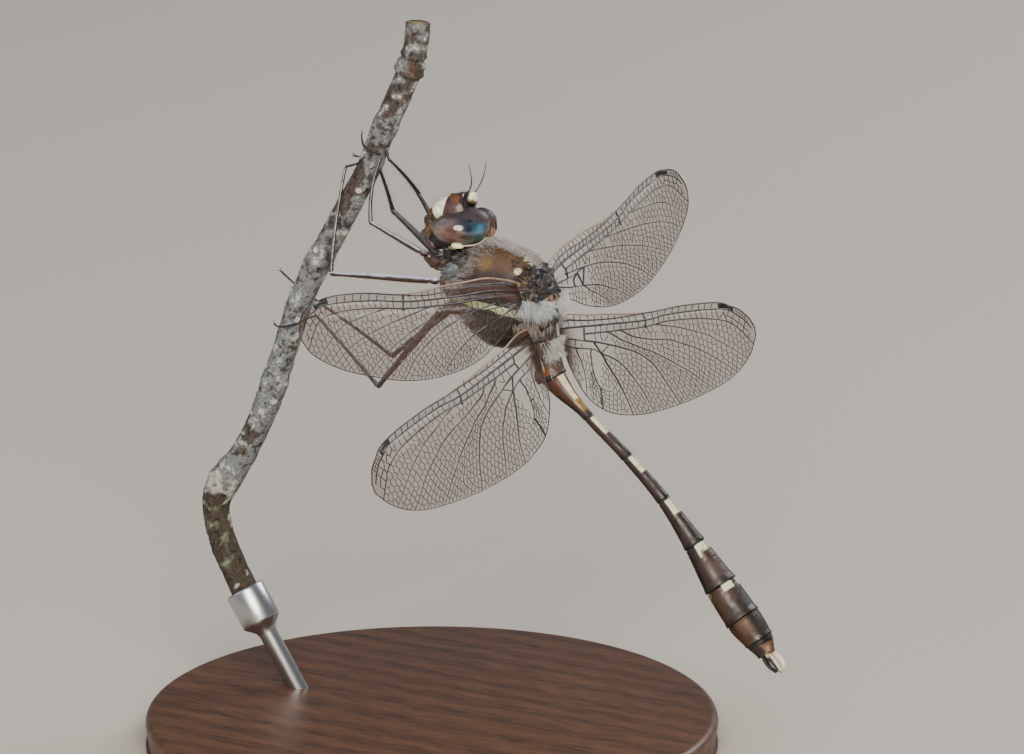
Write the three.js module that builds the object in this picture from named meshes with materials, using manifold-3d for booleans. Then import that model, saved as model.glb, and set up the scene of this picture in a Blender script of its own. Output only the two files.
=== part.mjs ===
// A stream cruiser dragonfly (male, life size) clinging to a cut length of twig,
// held up by a plain display stand. Millimetres, +Z up.
//
// Part frame: the origin is the centre of the stand's underside. The animal's
// plane of symmetry is the XZ plane; its head points to -X and up, its left
// side faces -Y. Animal frame: origin midway between the forewing hinges,
// X to the tail, Y to the animal's right, Z to its back.
import * as THREE from 'three';
import { mergeVertices } from 'three/addons/utils/BufferGeometryUtils.js';
import Module from 'manifold-3d';

const wasm = await Module();
wasm.setup();

// ---------------------------------------------------------------- dimensions
const wingHingeHeight = 52;         // forewing hinges above the floor
const wingHingeForward = 12.2;      // and beyond the stand's centre
const bodyPitch = 46;               // degrees, tail down
const headRoll = -16;               // degrees, crown leaning to the animal's right

const skinGap = 0.15;               // clearance left between neighbouring pieces
const ringGap = 0.16;               // clearance between abdominal segments

const forewingSpan = 37.5;
const hindwingSpan = 36;
const wingThickness = 0.5;

const abdomenSides = 12;
const legSides = 8;

const hipGap = 0.58;                // femur starts this far from the hip
const kneeOverrun = 0.2;            // femur ends this far past the knee
const shinStart = 0.5;              // tibia starts this far below the knee
const ankleGap = 0.3;               // clearance on each side of the ankle
const shinRadius = 0.29;
const toeRadius = 0.25;

const perchTopRadius = 1.22;
const perchFootRadius = 1.42;
const perchSides = 10;
const perchSteps = 42;

const baseRadius = 30;
const baseHeight = 4;
const baseChamfer = 0.8;
const rodRadius = 1.0;
const cupRadius = 2.15;
const cupWall = 0.45;
const cupDepth = 3.2;
const cupFloor = 0.9;
const rodEndHeight = 1.4;           // the rod's foot stops this far above the floor

const degree = Math.PI / 180;

// ----------------------------------------------------------------- materials
const finish = (color, roughness, metalness = 0) =>
  new THREE.MeshStandardMaterial({ color, roughness, metalness });
const materials = {
  chestnut: finish(0x6b4a36, 0.45),
  darkBrown: finish(0x3a2a22, 0.4),
  amber: finish(0x7a5028, 0.4),
  cream: finish(0xe4dfba, 0.5),
  eye: finish(0x6d6470, 0.15),
  hornBlack: finish(0x1d1714, 0.35),
  membrane: finish(0xcabfae, 0.2),
  tanRing: finish(0x8a5f34, 0.4),
  bark: finish(0x8b8c86, 0.9),
  steel: finish(0xb9bbbd, 0.3, 1),
  walnut: finish(0x4b3527, 0.5),
};

// -------------------------------------------------------------- shape helpers
const vec = (x, y, z) => new THREE.Vector3(x, y, z);
const lerp = THREE.MathUtils.lerp;

// Weld a closed primitive and carry each of its vertices to its place.
function reshape(primitive, place) {
  primitive.deleteAttribute('normal');
  primitive.deleteAttribute('uv');
  const welded = mergeVertices(primitive, 1e-5);
  const position = welded.attributes.position;
  const vertex = new THREE.Vector3();
  for (let i = 0; i < position.count; i += 1) {
    vertex.fromBufferAttribute(position, i);
    const placed = place(vertex);
    position.setXYZ(i, placed.x, placed.y, placed.z);
  }
  return welded;
}

// A round-sectioned body along a curve; size(t) gives [half width, half height].
// On a curve in the XZ plane the width lies along Y.
function sweep(curve, steps, sides, size) {
  const frames = curve.computeFrenetFrames(steps, false);
  return reshape(new THREE.CylinderGeometry(1, 1, 1, sides, steps), (vertex) => {
    const t = vertex.y + 0.5;
    const index = Math.round(t * steps);
    const [halfWidth, halfHeight] = size(t);
    return curve.getPointAt(t)
      .addScaledVector(frames.normals[index], vertex.x * halfWidth)
      .addScaledVector(frames.binormals[index], -vertex.z * halfHeight);
  });
}

// A piecewise linear function through [t, value] pairs.
function graph(pairs) {
  return (t) => {
    let k = 1;
    while (k < pairs.length - 1 && t > pairs[k][0]) k += 1;
    const [t0, v0] = pairs[k - 1];
    const [t1, v1] = pairs[k];
    return lerp(v0, v1, THREE.MathUtils.clamp((t - t0) / (t1 - t0), 0, 1));
  };
}

// A limb through the given joints, with softened ends.
function limb(points, startRadius, endRadius, steps, sides = legSides) {
  const curve = new THREE.CatmullRomCurve3(points, false, 'catmullrom', 0.4);
  const ends = graph([[0, 0.6], [0.08, 1], [0.92, 1], [1, 0.6]]);
  const radius = (t) => lerp(startRadius, endRadius, t) * ends(t);
  return sweep(curve, steps, sides, (t) => [radius(t), radius(t)]);
}

// A body whose side view is the closed outline and whose width swells from it.
// outline is a list of [x, z], anticlockwise from the animal's left with the head
// on the left; blunt below 1 makes the flanks fuller.
function pillow(outline, halfWidth, blunt = 1, around = 24, across = 10) {
  const rim = new THREE.CatmullRomCurve3(outline.map(([x, z]) => vec(x, 0, z)), true);
  const centre = vec(0, 0, 0);
  outline.forEach(([x, z]) => centre.add(vec(x / outline.length, 0, z / outline.length)));
  return reshape(new THREE.SphereGeometry(1, around, across), (vertex) => {
    const reach = Math.sqrt(Math.max(0, 1 - vertex.y * vertex.y));
    const turn = Math.atan2(vertex.z, vertex.x) / (2 * Math.PI);
    const edge = rim.getPointAt((turn + 1) % 1);
    const flank = Math.sign(vertex.y) * Math.abs(vertex.y) ** blunt;
    return vec(
      lerp(centre.x, edge.x, reach),
      halfWidth * flank,
      lerp(centre.z, edge.z, reach),
    );
  });
}

// An ellipsoid with its axes turned by the given Euler angles in degrees.
function ellipsoid(centre, radii, turn, around = 16, across = 11) {
  const rotation = new THREE.Euler(turn[0] * degree, turn[1] * degree, turn[2] * degree);
  return reshape(new THREE.SphereGeometry(1, around, across), (vertex) =>
    vec(vertex.x * radii[0], vertex.y * radii[1], vertex.z * radii[2])
      .applyEuler(rotation)
      .add(centre));
}

// ------------------------------------------------------------ boolean helpers
function toSolid(geometry) {
  const welded = mergeVertices(geometry, 1e-5);
  return new wasm.Manifold(new wasm.Mesh({
    numProp: 3,
    vertProperties: new Float32Array(welded.attributes.position.array),
    triVerts: new Uint32Array(welded.index.array),
  }));
}

function toGeometry(solid) {
  const mesh = solid.getMesh();
  const geometry = new THREE.BufferGeometry();
  geometry.setAttribute('position', new THREE.BufferAttribute(mesh.vertProperties, 3));
  geometry.setIndex(new THREE.BufferAttribute(mesh.triVerts, 1));
  return geometry;
}

// Cut tools out of a geometry and keep its largest piece.
function carve(geometry, tools) {
  let solid = toSolid(geometry);
  tools.forEach((tool) => {
    solid = solid.subtract(toSolid(tool));
  });
  const pieces = solid.decompose().sort((a, b) => b.volume() - a.volume());
  return toGeometry(pieces[0]);
}

function addMesh(group, name, geometry, material) {
  const mesh = new THREE.Mesh(geometry, material);
  mesh.name = name;
  group.add(mesh);
  return mesh;
}

const sides = [['left', -1], ['right', 1]];

// --------------------------------------------------------------------- groups
const model = new THREE.Group();

const animal = new THREE.Group();
animal.position.set(wingHingeForward, 0, wingHingeHeight);
animal.rotation.y = bodyPitch * degree;
model.add(animal);
animal.updateMatrixWorld(true);

// ----------------------------------------------------------------------- head
// The head's outlines are drawn from the neck joint, then tilted into place.
const neckJoint = vec(-7.0, 0, -3.0);
const headTilt = new THREE.Matrix4()
  .makeRotationX(headRoll * degree)
  .setPosition(neckJoint);

const faceOutline = [
  [-3.3, 3.3], [-4.1, 3.45], [-4.7, 2.9], [-5.35, 2.35], [-5.8, 1.3], [-5.85, 0.0],
  [-5.75, -1.2], [-5.5, -2.4], [-4.7, -3.3], [-3.6, -3.3], [-3.0, -2.0], [-2.9, 1.5],
];
const skullOutline = [
  [-2.9, 2.85], [-3.3, 1.5], [-3.5, -0.8], [-4.1, -2.6], [-3.7, -3.9], [-2.7, -4.0],
  [-1.6, -2.9], [-0.7, -1.7], [-0.1, -0.1], [-0.3, 1.6], [-1.3, 2.6],
];
const faceHalfWidth = 2.4;
const faceMiddle = -4.3;
const skullHalfWidth = 3.15;
const eyeCentre = [-1.84, 2.0, 0.57];
const eyeRadii = [2.6, 1.9, 1.78];
const eyeLean = 17;                 // degrees, upper ends towards each other

const eyeball = (side, extra) => ellipsoid(
  vec(eyeCentre[0], side * eyeCentre[1], eyeCentre[2]),
  eyeRadii.map((radius) => radius + extra),
  [0, -50, side * -eyeLean],
).applyMatrix4(headTilt);

// The face, or the room for it when grown by the given share.
const faceBody = (extra) => pillow(
  faceOutline.map(([x, z]) => [x + (x - faceMiddle) * extra, z * (1 + extra)]),
  faceHalfWidth * (1 + extra), 0.8, 18, 8,
).applyMatrix4(headTilt);

function buildHead() {
  const eyeRoom = sides.map(([, side]) => eyeball(side, skinGap));
  const forelegRoom = legs.slice(0, 2).flatMap((leg) => [coxa(leg, skinGap), femur(leg, skinGap)]);
  const skull = pillow(skullOutline, skullHalfWidth, 0.85, 18, 8).applyMatrix4(headTilt);
  addMesh(animal, 'skull', carve(skull, [...eyeRoom, ...forelegRoom, faceBody(0.09)]),
    materials.darkBrown);
  addMesh(animal, 'face', carve(faceBody(0), eyeRoom), materials.amber);

  sides.forEach(([word, side]) => {
    const ball = carve(eyeball(side, 0), [eyeball(-side, skinGap)]);
    addMesh(animal, `eye_${word}`, ball, materials.eye);
    const feeler = [
      vec(-4.3, side * 1.0, 3.4),
      vec(-4.8, side * 1.5, 4.2),
      vec(-5.5, side * 2.2, 5.0),
      vec(-6.3, side * 2.8, 5.6),
    ].map((point) => point.applyMatrix4(headTilt));
    addMesh(animal, `antenna_${word}`, limb(feeler, 0.3, 0.25, 5, 6), materials.hornBlack);
  });
}

// --------------------------------------------------------------------- thorax
// Where each leg leaves the body (animal frame) and where its knee is.
const legs = [
  {
    name: 'fore_left', hip: [-9.3, -2.25, -6.8], knee: [-15.4, -4.0, -8.7],
    socket: [-8.1, -1.3, -7.0], girth: 0.4,
    shin: [14.4, 46, 2.3],
    foot: [[14.6, 75, 1.85], [14.5, 112, 1.76], [14.2, 150, 1.76], [14.0, 178, 2.1]],
  },
  {
    name: 'fore_right', hip: [-9.3, 2.25, -6.8], knee: [-15.8, 4.5, -7.3],
    socket: [-8.1, 1.3, -7.0], girth: 0.4,
    shin: [15.9, -62, 1.85],
    foot: [[15.1, -80, 1.78], [14.1, -100, 1.74], [13.0, -118, 1.74], [12.3, -125, 2.0]],
  },
  {
    name: 'mid_left', hip: [-6.3, -2.4, -7.3], knee: [-14.2, -5.0, -15.7],
    socket: [-5.4, -1.4, -6.4], girth: 0.45,
    shin: [18.0, 142, 2.28],
    foot: [[17.3, 128, 2.0], [16.6, 112, 1.78], [15.9, 102, 1.76], [15.5, 95, 1.95]],
  },
  {
    name: 'mid_right', hip: [-6.6, 2.2, -8.0], knee: [-16.6, 5.0, -11.4],
    socket: [-5.5, 1.3, -6.8], girth: 0.45,
    shin: [16.3, -124, 2.3],
    foot: [[16.6, -140, 1.95], [16.9, -160, 1.78], [16.9, -180, 1.78], [16.7, -195, 2.0]],
  },
  {
    name: 'hind_left', hip: [-4.0, -2.4, -9.0], knee: [-2.2, -5.0, -19.5],
    socket: [-3.0, -1.4, -7.8], girth: 0.46,
    shin: [34.1, 31, 3.65],
    foot: [[35.2, 36, 2.6], [36.6, 60, 1.88], [37.6, 108, 1.8], [38.1, 160, 1.9]],
  },
  {
    name: 'hind_right', hip: [-4.1, 2.4, -9.1], knee: [-4.8, 1.9, -20.4],
    socket: [-3.0, 1.4, -7.8], girth: 0.42,
    shin: [34.5, -52, 2.0],
    foot: [[34.5, -88, 1.9], [34.3, -126, 2.1], [34.0, -150, 3.1], [33.8, -158, 4.5]],
  },
];

const hipOf = (leg) => vec(...leg.hip);
const kneeOf = (leg) => vec(...leg.knee);
const towards = (from, to, reach) => from.clone().lerp(to, reach / from.distanceTo(to));

const coxa = (leg, extra) => limb(
  [vec(...leg.socket), hipOf(leg)], 0.8 + extra, 0.5 + extra, 3, 9);

const femur = (leg, extra) => limb(
  [towards(hipOf(leg), kneeOf(leg), hipGap), towards(kneeOf(leg), hipOf(leg), -kneeOverrun)],
  leg.girth + 0.06 + extra, leg.girth - 0.08 + extra, 5);

const thoraxOutline = [
  [-6.7, -1.7], [-6.1, -3.4], [-6.5, -5.2], [-6.6, -7.7], [-4.4, -9.0], [-1.4, -8.9],
  [1.6, -7.4], [3.6, -5.4], [4.75, -2.9], [4.5, -0.7], [2.9, 0.9], [0.6, 1.75],
  [-1.3, 1.85], [-4.2, 0.35],
];
const thoraxHalfWidth = 3.95;
const collarHalfWidth = 1.9;
const collarOutline = [
  [-6.75, -2.6], [-7.05, -3.9], [-7.5, -5.3], [-8.3, -6.5], [-9.3, -7.4], [-9.1, -8.2],
  [-7.8, -8.1], [-6.95, -6.6], [-6.75, -4.8], [-6.45, -3.2],
];

function buildThorax() {
  const sockets = legs.map((leg) => coxa(leg, skinGap));
  const roots = wings.map((wing) => wingBlade(wing, wingThickness + 0.5, 0.12));
  const trunk = carve(pillow(thoraxOutline, thoraxHalfWidth, 0.8, 24, 12), [...sockets, ...roots]);
  addMesh(animal, 'thorax', trunk, materials.chestnut);
  const collar = carve(pillow(collarOutline, collarHalfWidth, 0.9, 14, 8), sockets.slice(0, 2));
  addMesh(animal, 'collar', collar, materials.chestnut);
}

// ---------------------------------------------------------------------- wings
// Outlines run from hinge to tip as [span, chord behind the hinge line].
const forewingLead = [
  [0, 0], [4, -0.5], [10, -0.65], [19.6, -0.1], [27, -0.45], [33, 0], [36.4, 1.4], [37.4, 2.9],
];
const forewingTrail = [
  [0.1, 1.5], [1, 2.1], [3, 3.7], [6, 5.5], [10, 7.2], [15, 8.3], [21, 8.7], [27, 8.1],
  [33, 6.8], [36.5, 5.2], [37.4, 4.0],
];
const hindwingLead = [
  [0, 0], [3, -0.2], [8, -0.3], [15.8, 0], [24, -0.35], [31.4, 0], [34.8, 1.4], [35.9, 2.6],
];
const hindwingTrail = [
  [0.1, 2.6], [1.3, 5.8], [2.6, 7.7], [5, 9.4], [8, 10.2], [12, 10.5], [18, 10.1], [24, 9.2],
  [30.5, 7.6], [34.2, 5.6], [35.9, 3.7],
];

// sweepAngle is forward, lift is up, tilt turns the trailing edge down (degrees);
// bow is how far the blade curves out of its plane at the tip.
const wings = [
  {
    name: 'forewing_left', side: -1, hinge: [0, -2.98, 0], lead: forewingLead, trail: forewingTrail,
    span: forewingSpan, sweepAngle: 12.0, lift: 1.7, tilt: -19.7, bow: 0.26,
  },
  {
    name: 'forewing_right', side: 1, hinge: [0, 2.98, 0], lead: forewingLead, trail: forewingTrail,
    span: forewingSpan, sweepAngle: 10.4, lift: -1.6, tilt: -25.6, bow: 0.11,
  },
  {
    name: 'hindwing_left', side: -1, hinge: [4.18, -2.82, -2.43], lead: hindwingLead,
    trail: hindwingTrail, span: hindwingSpan, sweepAngle: -6.4, lift: -3.1, tilt: -19.4, bow: 0.11,
  },
  {
    name: 'hindwing_right', side: 1, hinge: [4.18, 2.82, -2.43], lead: hindwingLead,
    trail: hindwingTrail, span: hindwingSpan, sweepAngle: -10.1, lift: -2.4, tilt: -24.9, bow: 0.3,
  },
];

// The wing's own directions: along the span, along the chord, out of its plane.
function wingAxes(wing) {
  const forward = wing.sweepAngle * degree;
  const lift = wing.lift * degree;
  const tilt = wing.tilt * degree;
  const span = vec(
    -Math.sin(forward) * Math.cos(lift),
    wing.side * Math.cos(forward) * Math.cos(lift),
    Math.sin(lift),
  );
  const level = vec(1, 0, 0).addScaledVector(span, -span.x).normalize();
  const rise = level.clone().cross(span).multiplyScalar(wing.side);
  const chord = level.clone().multiplyScalar(Math.cos(tilt)).addScaledVector(rise, Math.sin(tilt));
  const normal = rise.clone().multiplyScalar(Math.cos(tilt)).addScaledVector(level, -Math.sin(tilt));
  return { span, chord, normal };
}

// The blade as a bent plate; only its first part is made when reach is below 1.
function wingBlade(wing, thickness, reach = 1) {
  const { span, chord, normal } = wingAxes(wing);
  const steps = reach < 1 ? 3 : 14;
  const edge = (points) => new THREE.CatmullRomCurve3(points.map(([u, v]) => vec(u, v, 0)));
  const lead = edge(wing.lead);
  const trail = edge(wing.trail);
  const plate = new THREE.BoxGeometry(1, 1, 1, steps, 1, 3);
  const start = reach < 1 ? -0.02 : 0.014;
  return reshape(plate, (vertex) => {
    const along = lerp(start, reach, vertex.x + 0.5);
    const before = Math.min(0, along) * wing.span;
    const front = lead.getPointAt(Math.max(0, along));
    const back = trail.getPointAt(Math.max(0, along));
    const u = lerp(front.x, back.x, vertex.z + 0.5) + before;
    const v = lerp(front.y, back.y, vertex.z + 0.5);
    const out = wing.bow * (u / forewingSpan) ** 2 + wing.side * vertex.y * thickness;
    return vec(...wing.hinge)
      .addScaledVector(span, u)
      .addScaledVector(chord, v)
      .addScaledVector(normal, out);
  });
}

function buildWings() {
  wings.forEach((wing) => {
    addMesh(animal, wing.name, wingBlade(wing, wingThickness), materials.membrane);
  });
}

// -------------------------------------------------------------------- abdomen
// The rings between the ten segments: [x, z, half width, half height].
const rings = [
  [5.0, -3.1, 1.75, 1.65], [6.55, -4.15, 1.55, 1.5], [8.75, -4.95, 1.35, 1.35],
  [14.1, -4.6, 0.56, 0.56], [19.8, -3.85, 0.61, 0.6], [25.6, -3.5, 0.72, 0.7],
  [31.2, -3.8, 1.18, 1.12], [36.1, -4.3, 1.88, 1.64], [40.1, -4.6, 2.05, 1.74],
  [42.9, -4.65, 1.6, 1.45], [44.5, -4.95, 0.95, 0.88],
];
const segmentCount = rings.length - 1;
const stepsPerSegment = 4;

function buildAbdomen() {
  const spine = new THREE.CatmullRomCurve3(rings.map(([x, z]) => vec(x, 0, z)));
  const girth = new THREE.CatmullRomCurve3(rings.map(([, , wide, high]) => vec(wide, high, 0)));
  const bulge = graph([[0, 0.95], [0.12, 1], [0.9, 1], [1, 0.93]]);
  for (let k = 0; k < segmentCount; k += 1) {
    const length = spine.getPoint(k / segmentCount).distanceTo(spine.getPoint((k + 1) / segmentCount));
    const margin = ringGap / 2 / length;
    const geometry = reshape(
      new THREE.CylinderGeometry(1, 1, 1, abdomenSides, stepsPerSegment),
      (vertex) => {
        const t = vertex.y + 0.5;
        const place = (k + lerp(margin, 1 - margin, t)) / segmentCount;
        const centre = spine.getPoint(place);
        const tangent = spine.getTangent(place);
        const girthHere = girth.getPoint(place).multiplyScalar(bulge(t));
        const upward = vec(-tangent.z, 0, tangent.x);
        return centre
          .addScaledVector(upward, vertex.x * girthHere.y)
          .add(vec(0, vertex.z * girthHere.x, 0));
      },
    );
    const colour = k < 3 ? materials.tanRing : materials.darkBrown;
    addMesh(animal, `abdomen_${k + 1}`, geometry, colour);
  }

  sides.forEach(([word, side]) => {
    const clasper = [
      vec(44.75, side * 0.5, -4.6), vec(45.6, side * 0.72, -4.45), vec(46.7, side * 0.42, -4.65)];
    addMesh(animal, `cercus_${word}`, limb(clasper, 0.3, 0.25, 5), materials.cream);
  });
  const lowerClasper = [vec(44.75, 0, -5.35), vec(45.5, 0, -5.5), vec(46.3, 0, -5.35)];
  addMesh(animal, 'epiproct', limb(lowerClasper, 0.36, 0.26, 4), materials.tanRing);
}

// ---------------------------------------------------------------------- perch
// The twig's centre line, as [x, z] from the wing hinges, from its cut top down.
const perchLine = [
  [-13.6, 25.6], [-13.75, 24.0], [-14.6, 20.6], [-16.3, 16.9], [-17.8, 13.9], [-19.2, 10.3],
  [-20.95, 7.2], [-24.3, 1.3], [-26.4, -2.3], [-28.3, -6.5], [-29.7, -10.5], [-31.8, -16.3],
  [-34.5, -22.1], [-36.7, -25.3], [-38.3, -27.7], [-38.8, -29.9], [-38.3, -32.2],
  [-36.6, -36.0], [-34.8, -39.0], [-33.6, -40.8],
];
const perchCurve = new THREE.CatmullRomCurve3(perchLine.map(([x, z]) =>
  vec(x + wingHingeForward, 0, z + wingHingeHeight)));
perchCurve.arcLengthDivisions = 800;
const perchLength = perchCurve.getLength();

// Knots and the knuckle at the bend: [distance from the top, rise, half length].
const knots = [[5.2, 0.2, 0.7], [12.0, 0.14, 1.0], [29.5, 0.16, 1.2], [44.5, 0.14, 1.0],
  [57.4, 0.38, 2.2]];

function perchRadius(along) {
  const plain = lerp(perchTopRadius, perchFootRadius, along / perchLength);
  const swell = knots.reduce((sum, [place, rise, half]) =>
    sum + rise * Math.exp(-(((along - place) / half) ** 2)), 0);
  return plain + swell;
}

// A point beside the twig: distance from its top, degrees round it (0 faces the
// animal, 90 faces its left side) and reach from the centre line.
function besidePerch(along, turn, reach) {
  const centre = perchCurve.getPointAt(along / perchLength);
  const tangent = perchCurve.getTangentAt(along / perchLength);
  const facing = tangent.clone().cross(vec(0, 1, 0));
  if (facing.x < 0) facing.negate();
  return centre
    .addScaledVector(facing, reach * Math.cos(turn * degree))
    .add(vec(0, -reach * Math.sin(turn * degree), 0));
}

function buildPerch() {
  const twig = sweep(perchCurve, perchSteps, perchSides, (t) => {
    const radius = perchRadius(t * perchLength);
    return [radius, radius];
  });
  addMesh(model, 'perch_twig', twig, materials.bark);
}

// ----------------------------------------------------------------------- legs
function buildLegs() {
  legs.forEach((leg) => {
    const knee = kneeOf(leg);
    const grip = [leg.shin, ...leg.foot].map((spot) => animal.worldToLocal(besidePerch(...spot)));
    const ankle = grip[0];

    const shin = [towards(knee, ankle, shinStart), towards(ankle, knee, ankleGap)];
    const toes = [towards(ankle, grip[1], ankleGap), ...grip.slice(1)];

    addMesh(animal, `coxa_${leg.name}`, coxa(leg, 0), materials.chestnut);
    addMesh(animal, `femur_${leg.name}`, femur(leg, 0), materials.darkBrown);
    addMesh(animal, `tibia_${leg.name}`, limb(shin, shinRadius, toeRadius, 5), materials.darkBrown);
    addMesh(animal, `tarsus_${leg.name}`, limb(toes, toeRadius, toeRadius, 8), materials.hornBlack);
  });
}

// ---------------------------------------------------------------------- stand
function buildStand() {
  const foot = perchCurve.getPointAt(1);
  const down = perchCurve.getTangentAt(1);
  const turnToTwig = new THREE.Quaternion().setFromUnitVectors(vec(0, 1, 0), down.clone().negate());
  const rodLength = (foot.z - rodEndHeight) / -down.z - skinGap;

  // The rod and its cup are one turned piece, drawn from the cup's floor down.
  const rodProfile = [
    [0, -rodLength], [rodRadius, -rodLength], [rodRadius, -cupFloor - 0.6],
    [cupRadius, -cupFloor], [cupRadius, cupDepth], [cupRadius - cupWall, cupDepth],
    [cupRadius - cupWall, 0], [0, 0],
  ].map(([radius, height]) => new THREE.Vector2(radius, height));
  const rod = addMesh(model, 'stand_rod', new THREE.LatheGeometry(rodProfile, 18), materials.steel);
  rod.quaternion.copy(turnToTwig);
  rod.position.copy(foot).addScaledVector(down, skinGap);

  const baseProfile = [
    [0, 0], [baseRadius - baseChamfer / 2, 0], [baseRadius, baseChamfer / 2],
    [baseRadius, baseHeight - baseChamfer], [baseRadius - baseChamfer, baseHeight], [0, baseHeight],
  ].map(([radius, height]) => new THREE.Vector2(radius, height));
  const disc = new THREE.LatheGeometry(baseProfile, 44).rotateX(90 * degree);
  disc.deleteAttribute('normal');
  disc.deleteAttribute('uv');
  const socketLength = 20;
  const socket = reshape(
    new THREE.CylinderGeometry(rodRadius + skinGap, rodRadius + skinGap, socketLength, 16),
    (vertex) => vertex.clone()
      .applyQuaternion(turnToTwig)
      .add(foot)
      .addScaledVector(down, rodLength + 2 * skinGap - socketLength / 2),
  );
  addMesh(model, 'stand_base', carve(disc, [socket]), materials.walnut);
}

buildHead();
buildThorax();
buildWings();
buildAbdomen();
buildPerch();
buildLegs();
buildStand();

export default model;
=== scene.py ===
# %% [markdown]
# # A stream cruiser dragonfly on a twig
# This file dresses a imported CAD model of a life-size dragonfly that clings to a cut
# length of twig on a display stand. The CAD solids give each part's place and size;
# here each one is replaced by a finished surface of the same size. Every step says
# what the part is on a real insect, how it could be made, and why it is made this way.
# Points are written in millimetres, because an insect is measured in millimetres,
# and one helper turns them to metres when a mesh is made.

# %% Load the frame and keep its box
import math
import bmesh
import bpy
import numpy as np
from mathutils import Matrix, Vector, noise
from mathutils.geometry import delaunay_2d_cdt


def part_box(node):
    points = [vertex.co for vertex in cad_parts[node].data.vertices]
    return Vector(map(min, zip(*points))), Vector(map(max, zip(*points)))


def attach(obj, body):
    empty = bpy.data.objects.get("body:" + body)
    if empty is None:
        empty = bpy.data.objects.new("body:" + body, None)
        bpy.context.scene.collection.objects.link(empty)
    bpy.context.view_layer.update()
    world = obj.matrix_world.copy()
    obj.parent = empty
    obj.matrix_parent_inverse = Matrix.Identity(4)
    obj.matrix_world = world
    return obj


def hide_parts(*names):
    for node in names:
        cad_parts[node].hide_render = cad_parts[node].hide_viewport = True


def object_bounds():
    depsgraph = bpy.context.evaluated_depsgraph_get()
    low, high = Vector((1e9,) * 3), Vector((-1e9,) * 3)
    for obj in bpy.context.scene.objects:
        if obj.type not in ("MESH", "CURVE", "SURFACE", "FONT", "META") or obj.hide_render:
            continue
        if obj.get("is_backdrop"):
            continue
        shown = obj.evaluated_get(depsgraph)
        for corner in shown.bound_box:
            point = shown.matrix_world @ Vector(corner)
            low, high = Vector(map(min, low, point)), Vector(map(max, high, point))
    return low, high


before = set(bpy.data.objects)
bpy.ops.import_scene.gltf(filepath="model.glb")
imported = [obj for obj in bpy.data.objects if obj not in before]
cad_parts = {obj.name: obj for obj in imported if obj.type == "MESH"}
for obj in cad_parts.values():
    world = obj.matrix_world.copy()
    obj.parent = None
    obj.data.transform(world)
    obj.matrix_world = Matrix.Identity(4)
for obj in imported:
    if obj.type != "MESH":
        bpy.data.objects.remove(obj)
cad_box = [[float(v) for v in corner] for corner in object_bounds()]
print("CAD box in metres", cad_box)

# %% [markdown]
# The insect is drawn in its own directions: X towards the tail, Y to its right and
# Z to its back, from a point midway between the forewing hinges. One matrix tilts it
# tail down and lifts it to its place above the stand. The head has a matrix of its
# own, because this insect cocks its head.

# %% Places of the animal and its head
MM = 0.001
HINGES = (12.2, 0, 52)                        # midway between the forewing hinges
TAIL_DOWN, HEAD_COCKED = math.radians(46), math.radians(-16)
PART = Matrix.Identity(4)
ANIMAL = Matrix.Translation(HINGES) @ Matrix.Rotation(TAIL_DOWN, 4, 'Y')
HEAD = ANIMAL @ Matrix.Translation((-7, 0, -3)) @ Matrix.Rotation(HEAD_COCKED, 4, 'X')


def move(points, place):
    """Points in millimetres, carried by a matrix."""
    points = np.asarray(points, float)
    matrix = np.array(place)
    return points @ matrix[:3, :3].T + matrix[:3, 3]


FORE_HINGE = 2.98                             # distance of a forewing's hinge from the middle
hinge_gap = np.array(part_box("forewing_left")[1]) / MM - move([[0, -FORE_HINGE, 0]], ANIMAL)[0]
print("left forewing's hinge lies", hinge_gap.round(2), "mm from its solid's corner")

# %% [markdown]
# Colours are given as the hex values a painter would pick on a screen. Blender works
# in linear light, so one function converts them. A piece is painted like a model: a
# ground colour first, then coats over it, each with its share at every point. For
# shaders, one function adds a node with its settings and its links in a single line.

# %% Colour and node helpers
def linear(code):
    """An sRGB hex value as a linear RGB triple."""
    values = [int(code[k:k + 2], 16) / 255 for k in (1, 3, 5)]
    return np.array([v / 12.92 if v < 0.04045 else ((v + 0.055) / 1.055) ** 2.4 for v in values])


def rgba(code):
    return (*linear(code), 1.0)


def painted(ground, *coats):
    """Colours of points: the ground colours, and coats of (hex value, share) over them."""
    for code, share in coats:
        ground = ground + (linear(code) - ground) * np.clip(share, 0, 1)[:, None]
    return ground


def dyed(shape, code, *coats):
    """A shape (points and faces) with a ground colour and coats painted on its points."""
    return *shape, painted(linear(code) + 0 * shape[0], *coats)


def add(tree, kind, links=None, stops=(), **settings):
    """Adds a node. settings are its properties; links are its inputs by name or number, each
    a value or a socket; stops are the (place, hex) pairs of a ramp."""
    made = tree.nodes.new(kind)
    for key, value in settings.items():
        setattr(made, key, value)
    for key, value in (links or {}).items():
        socket = made.inputs[key]
        if isinstance(value, bpy.types.NodeSocket):
            tree.links.new(value, socket)
        else:
            socket.default_value = value
    for number, (place, code) in enumerate(stops):
        elements = made.color_ramp.elements
        element = elements[number] if number < len(elements) else elements.new(place)
        element.position, element.color = place, rgba(code)
    return made


def shader(name, **constants):
    """A material with a Principled shader; constants are set on its own sockets."""
    material = bpy.data.materials.new(name)
    material.use_nodes = True
    surface = material.node_tree.nodes['Principled BSDF']
    for key, value in constants.items():
        surface.inputs[key.replace('_', ' ')].default_value = value
    return material, material.node_tree, surface


def wire(tree, surface, **sockets):
    """Links sockets to the shader's inputs of the same names."""
    for key, socket in sockets.items():
        tree.links.new(socket, surface.inputs[key.replace('_', ' ')])


# %% [markdown]
# Every surface is made from a shape: a list of points, a list of faces and, where it
# is painted, a colour for each point.

# %% Making pieces
pieces = []


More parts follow.
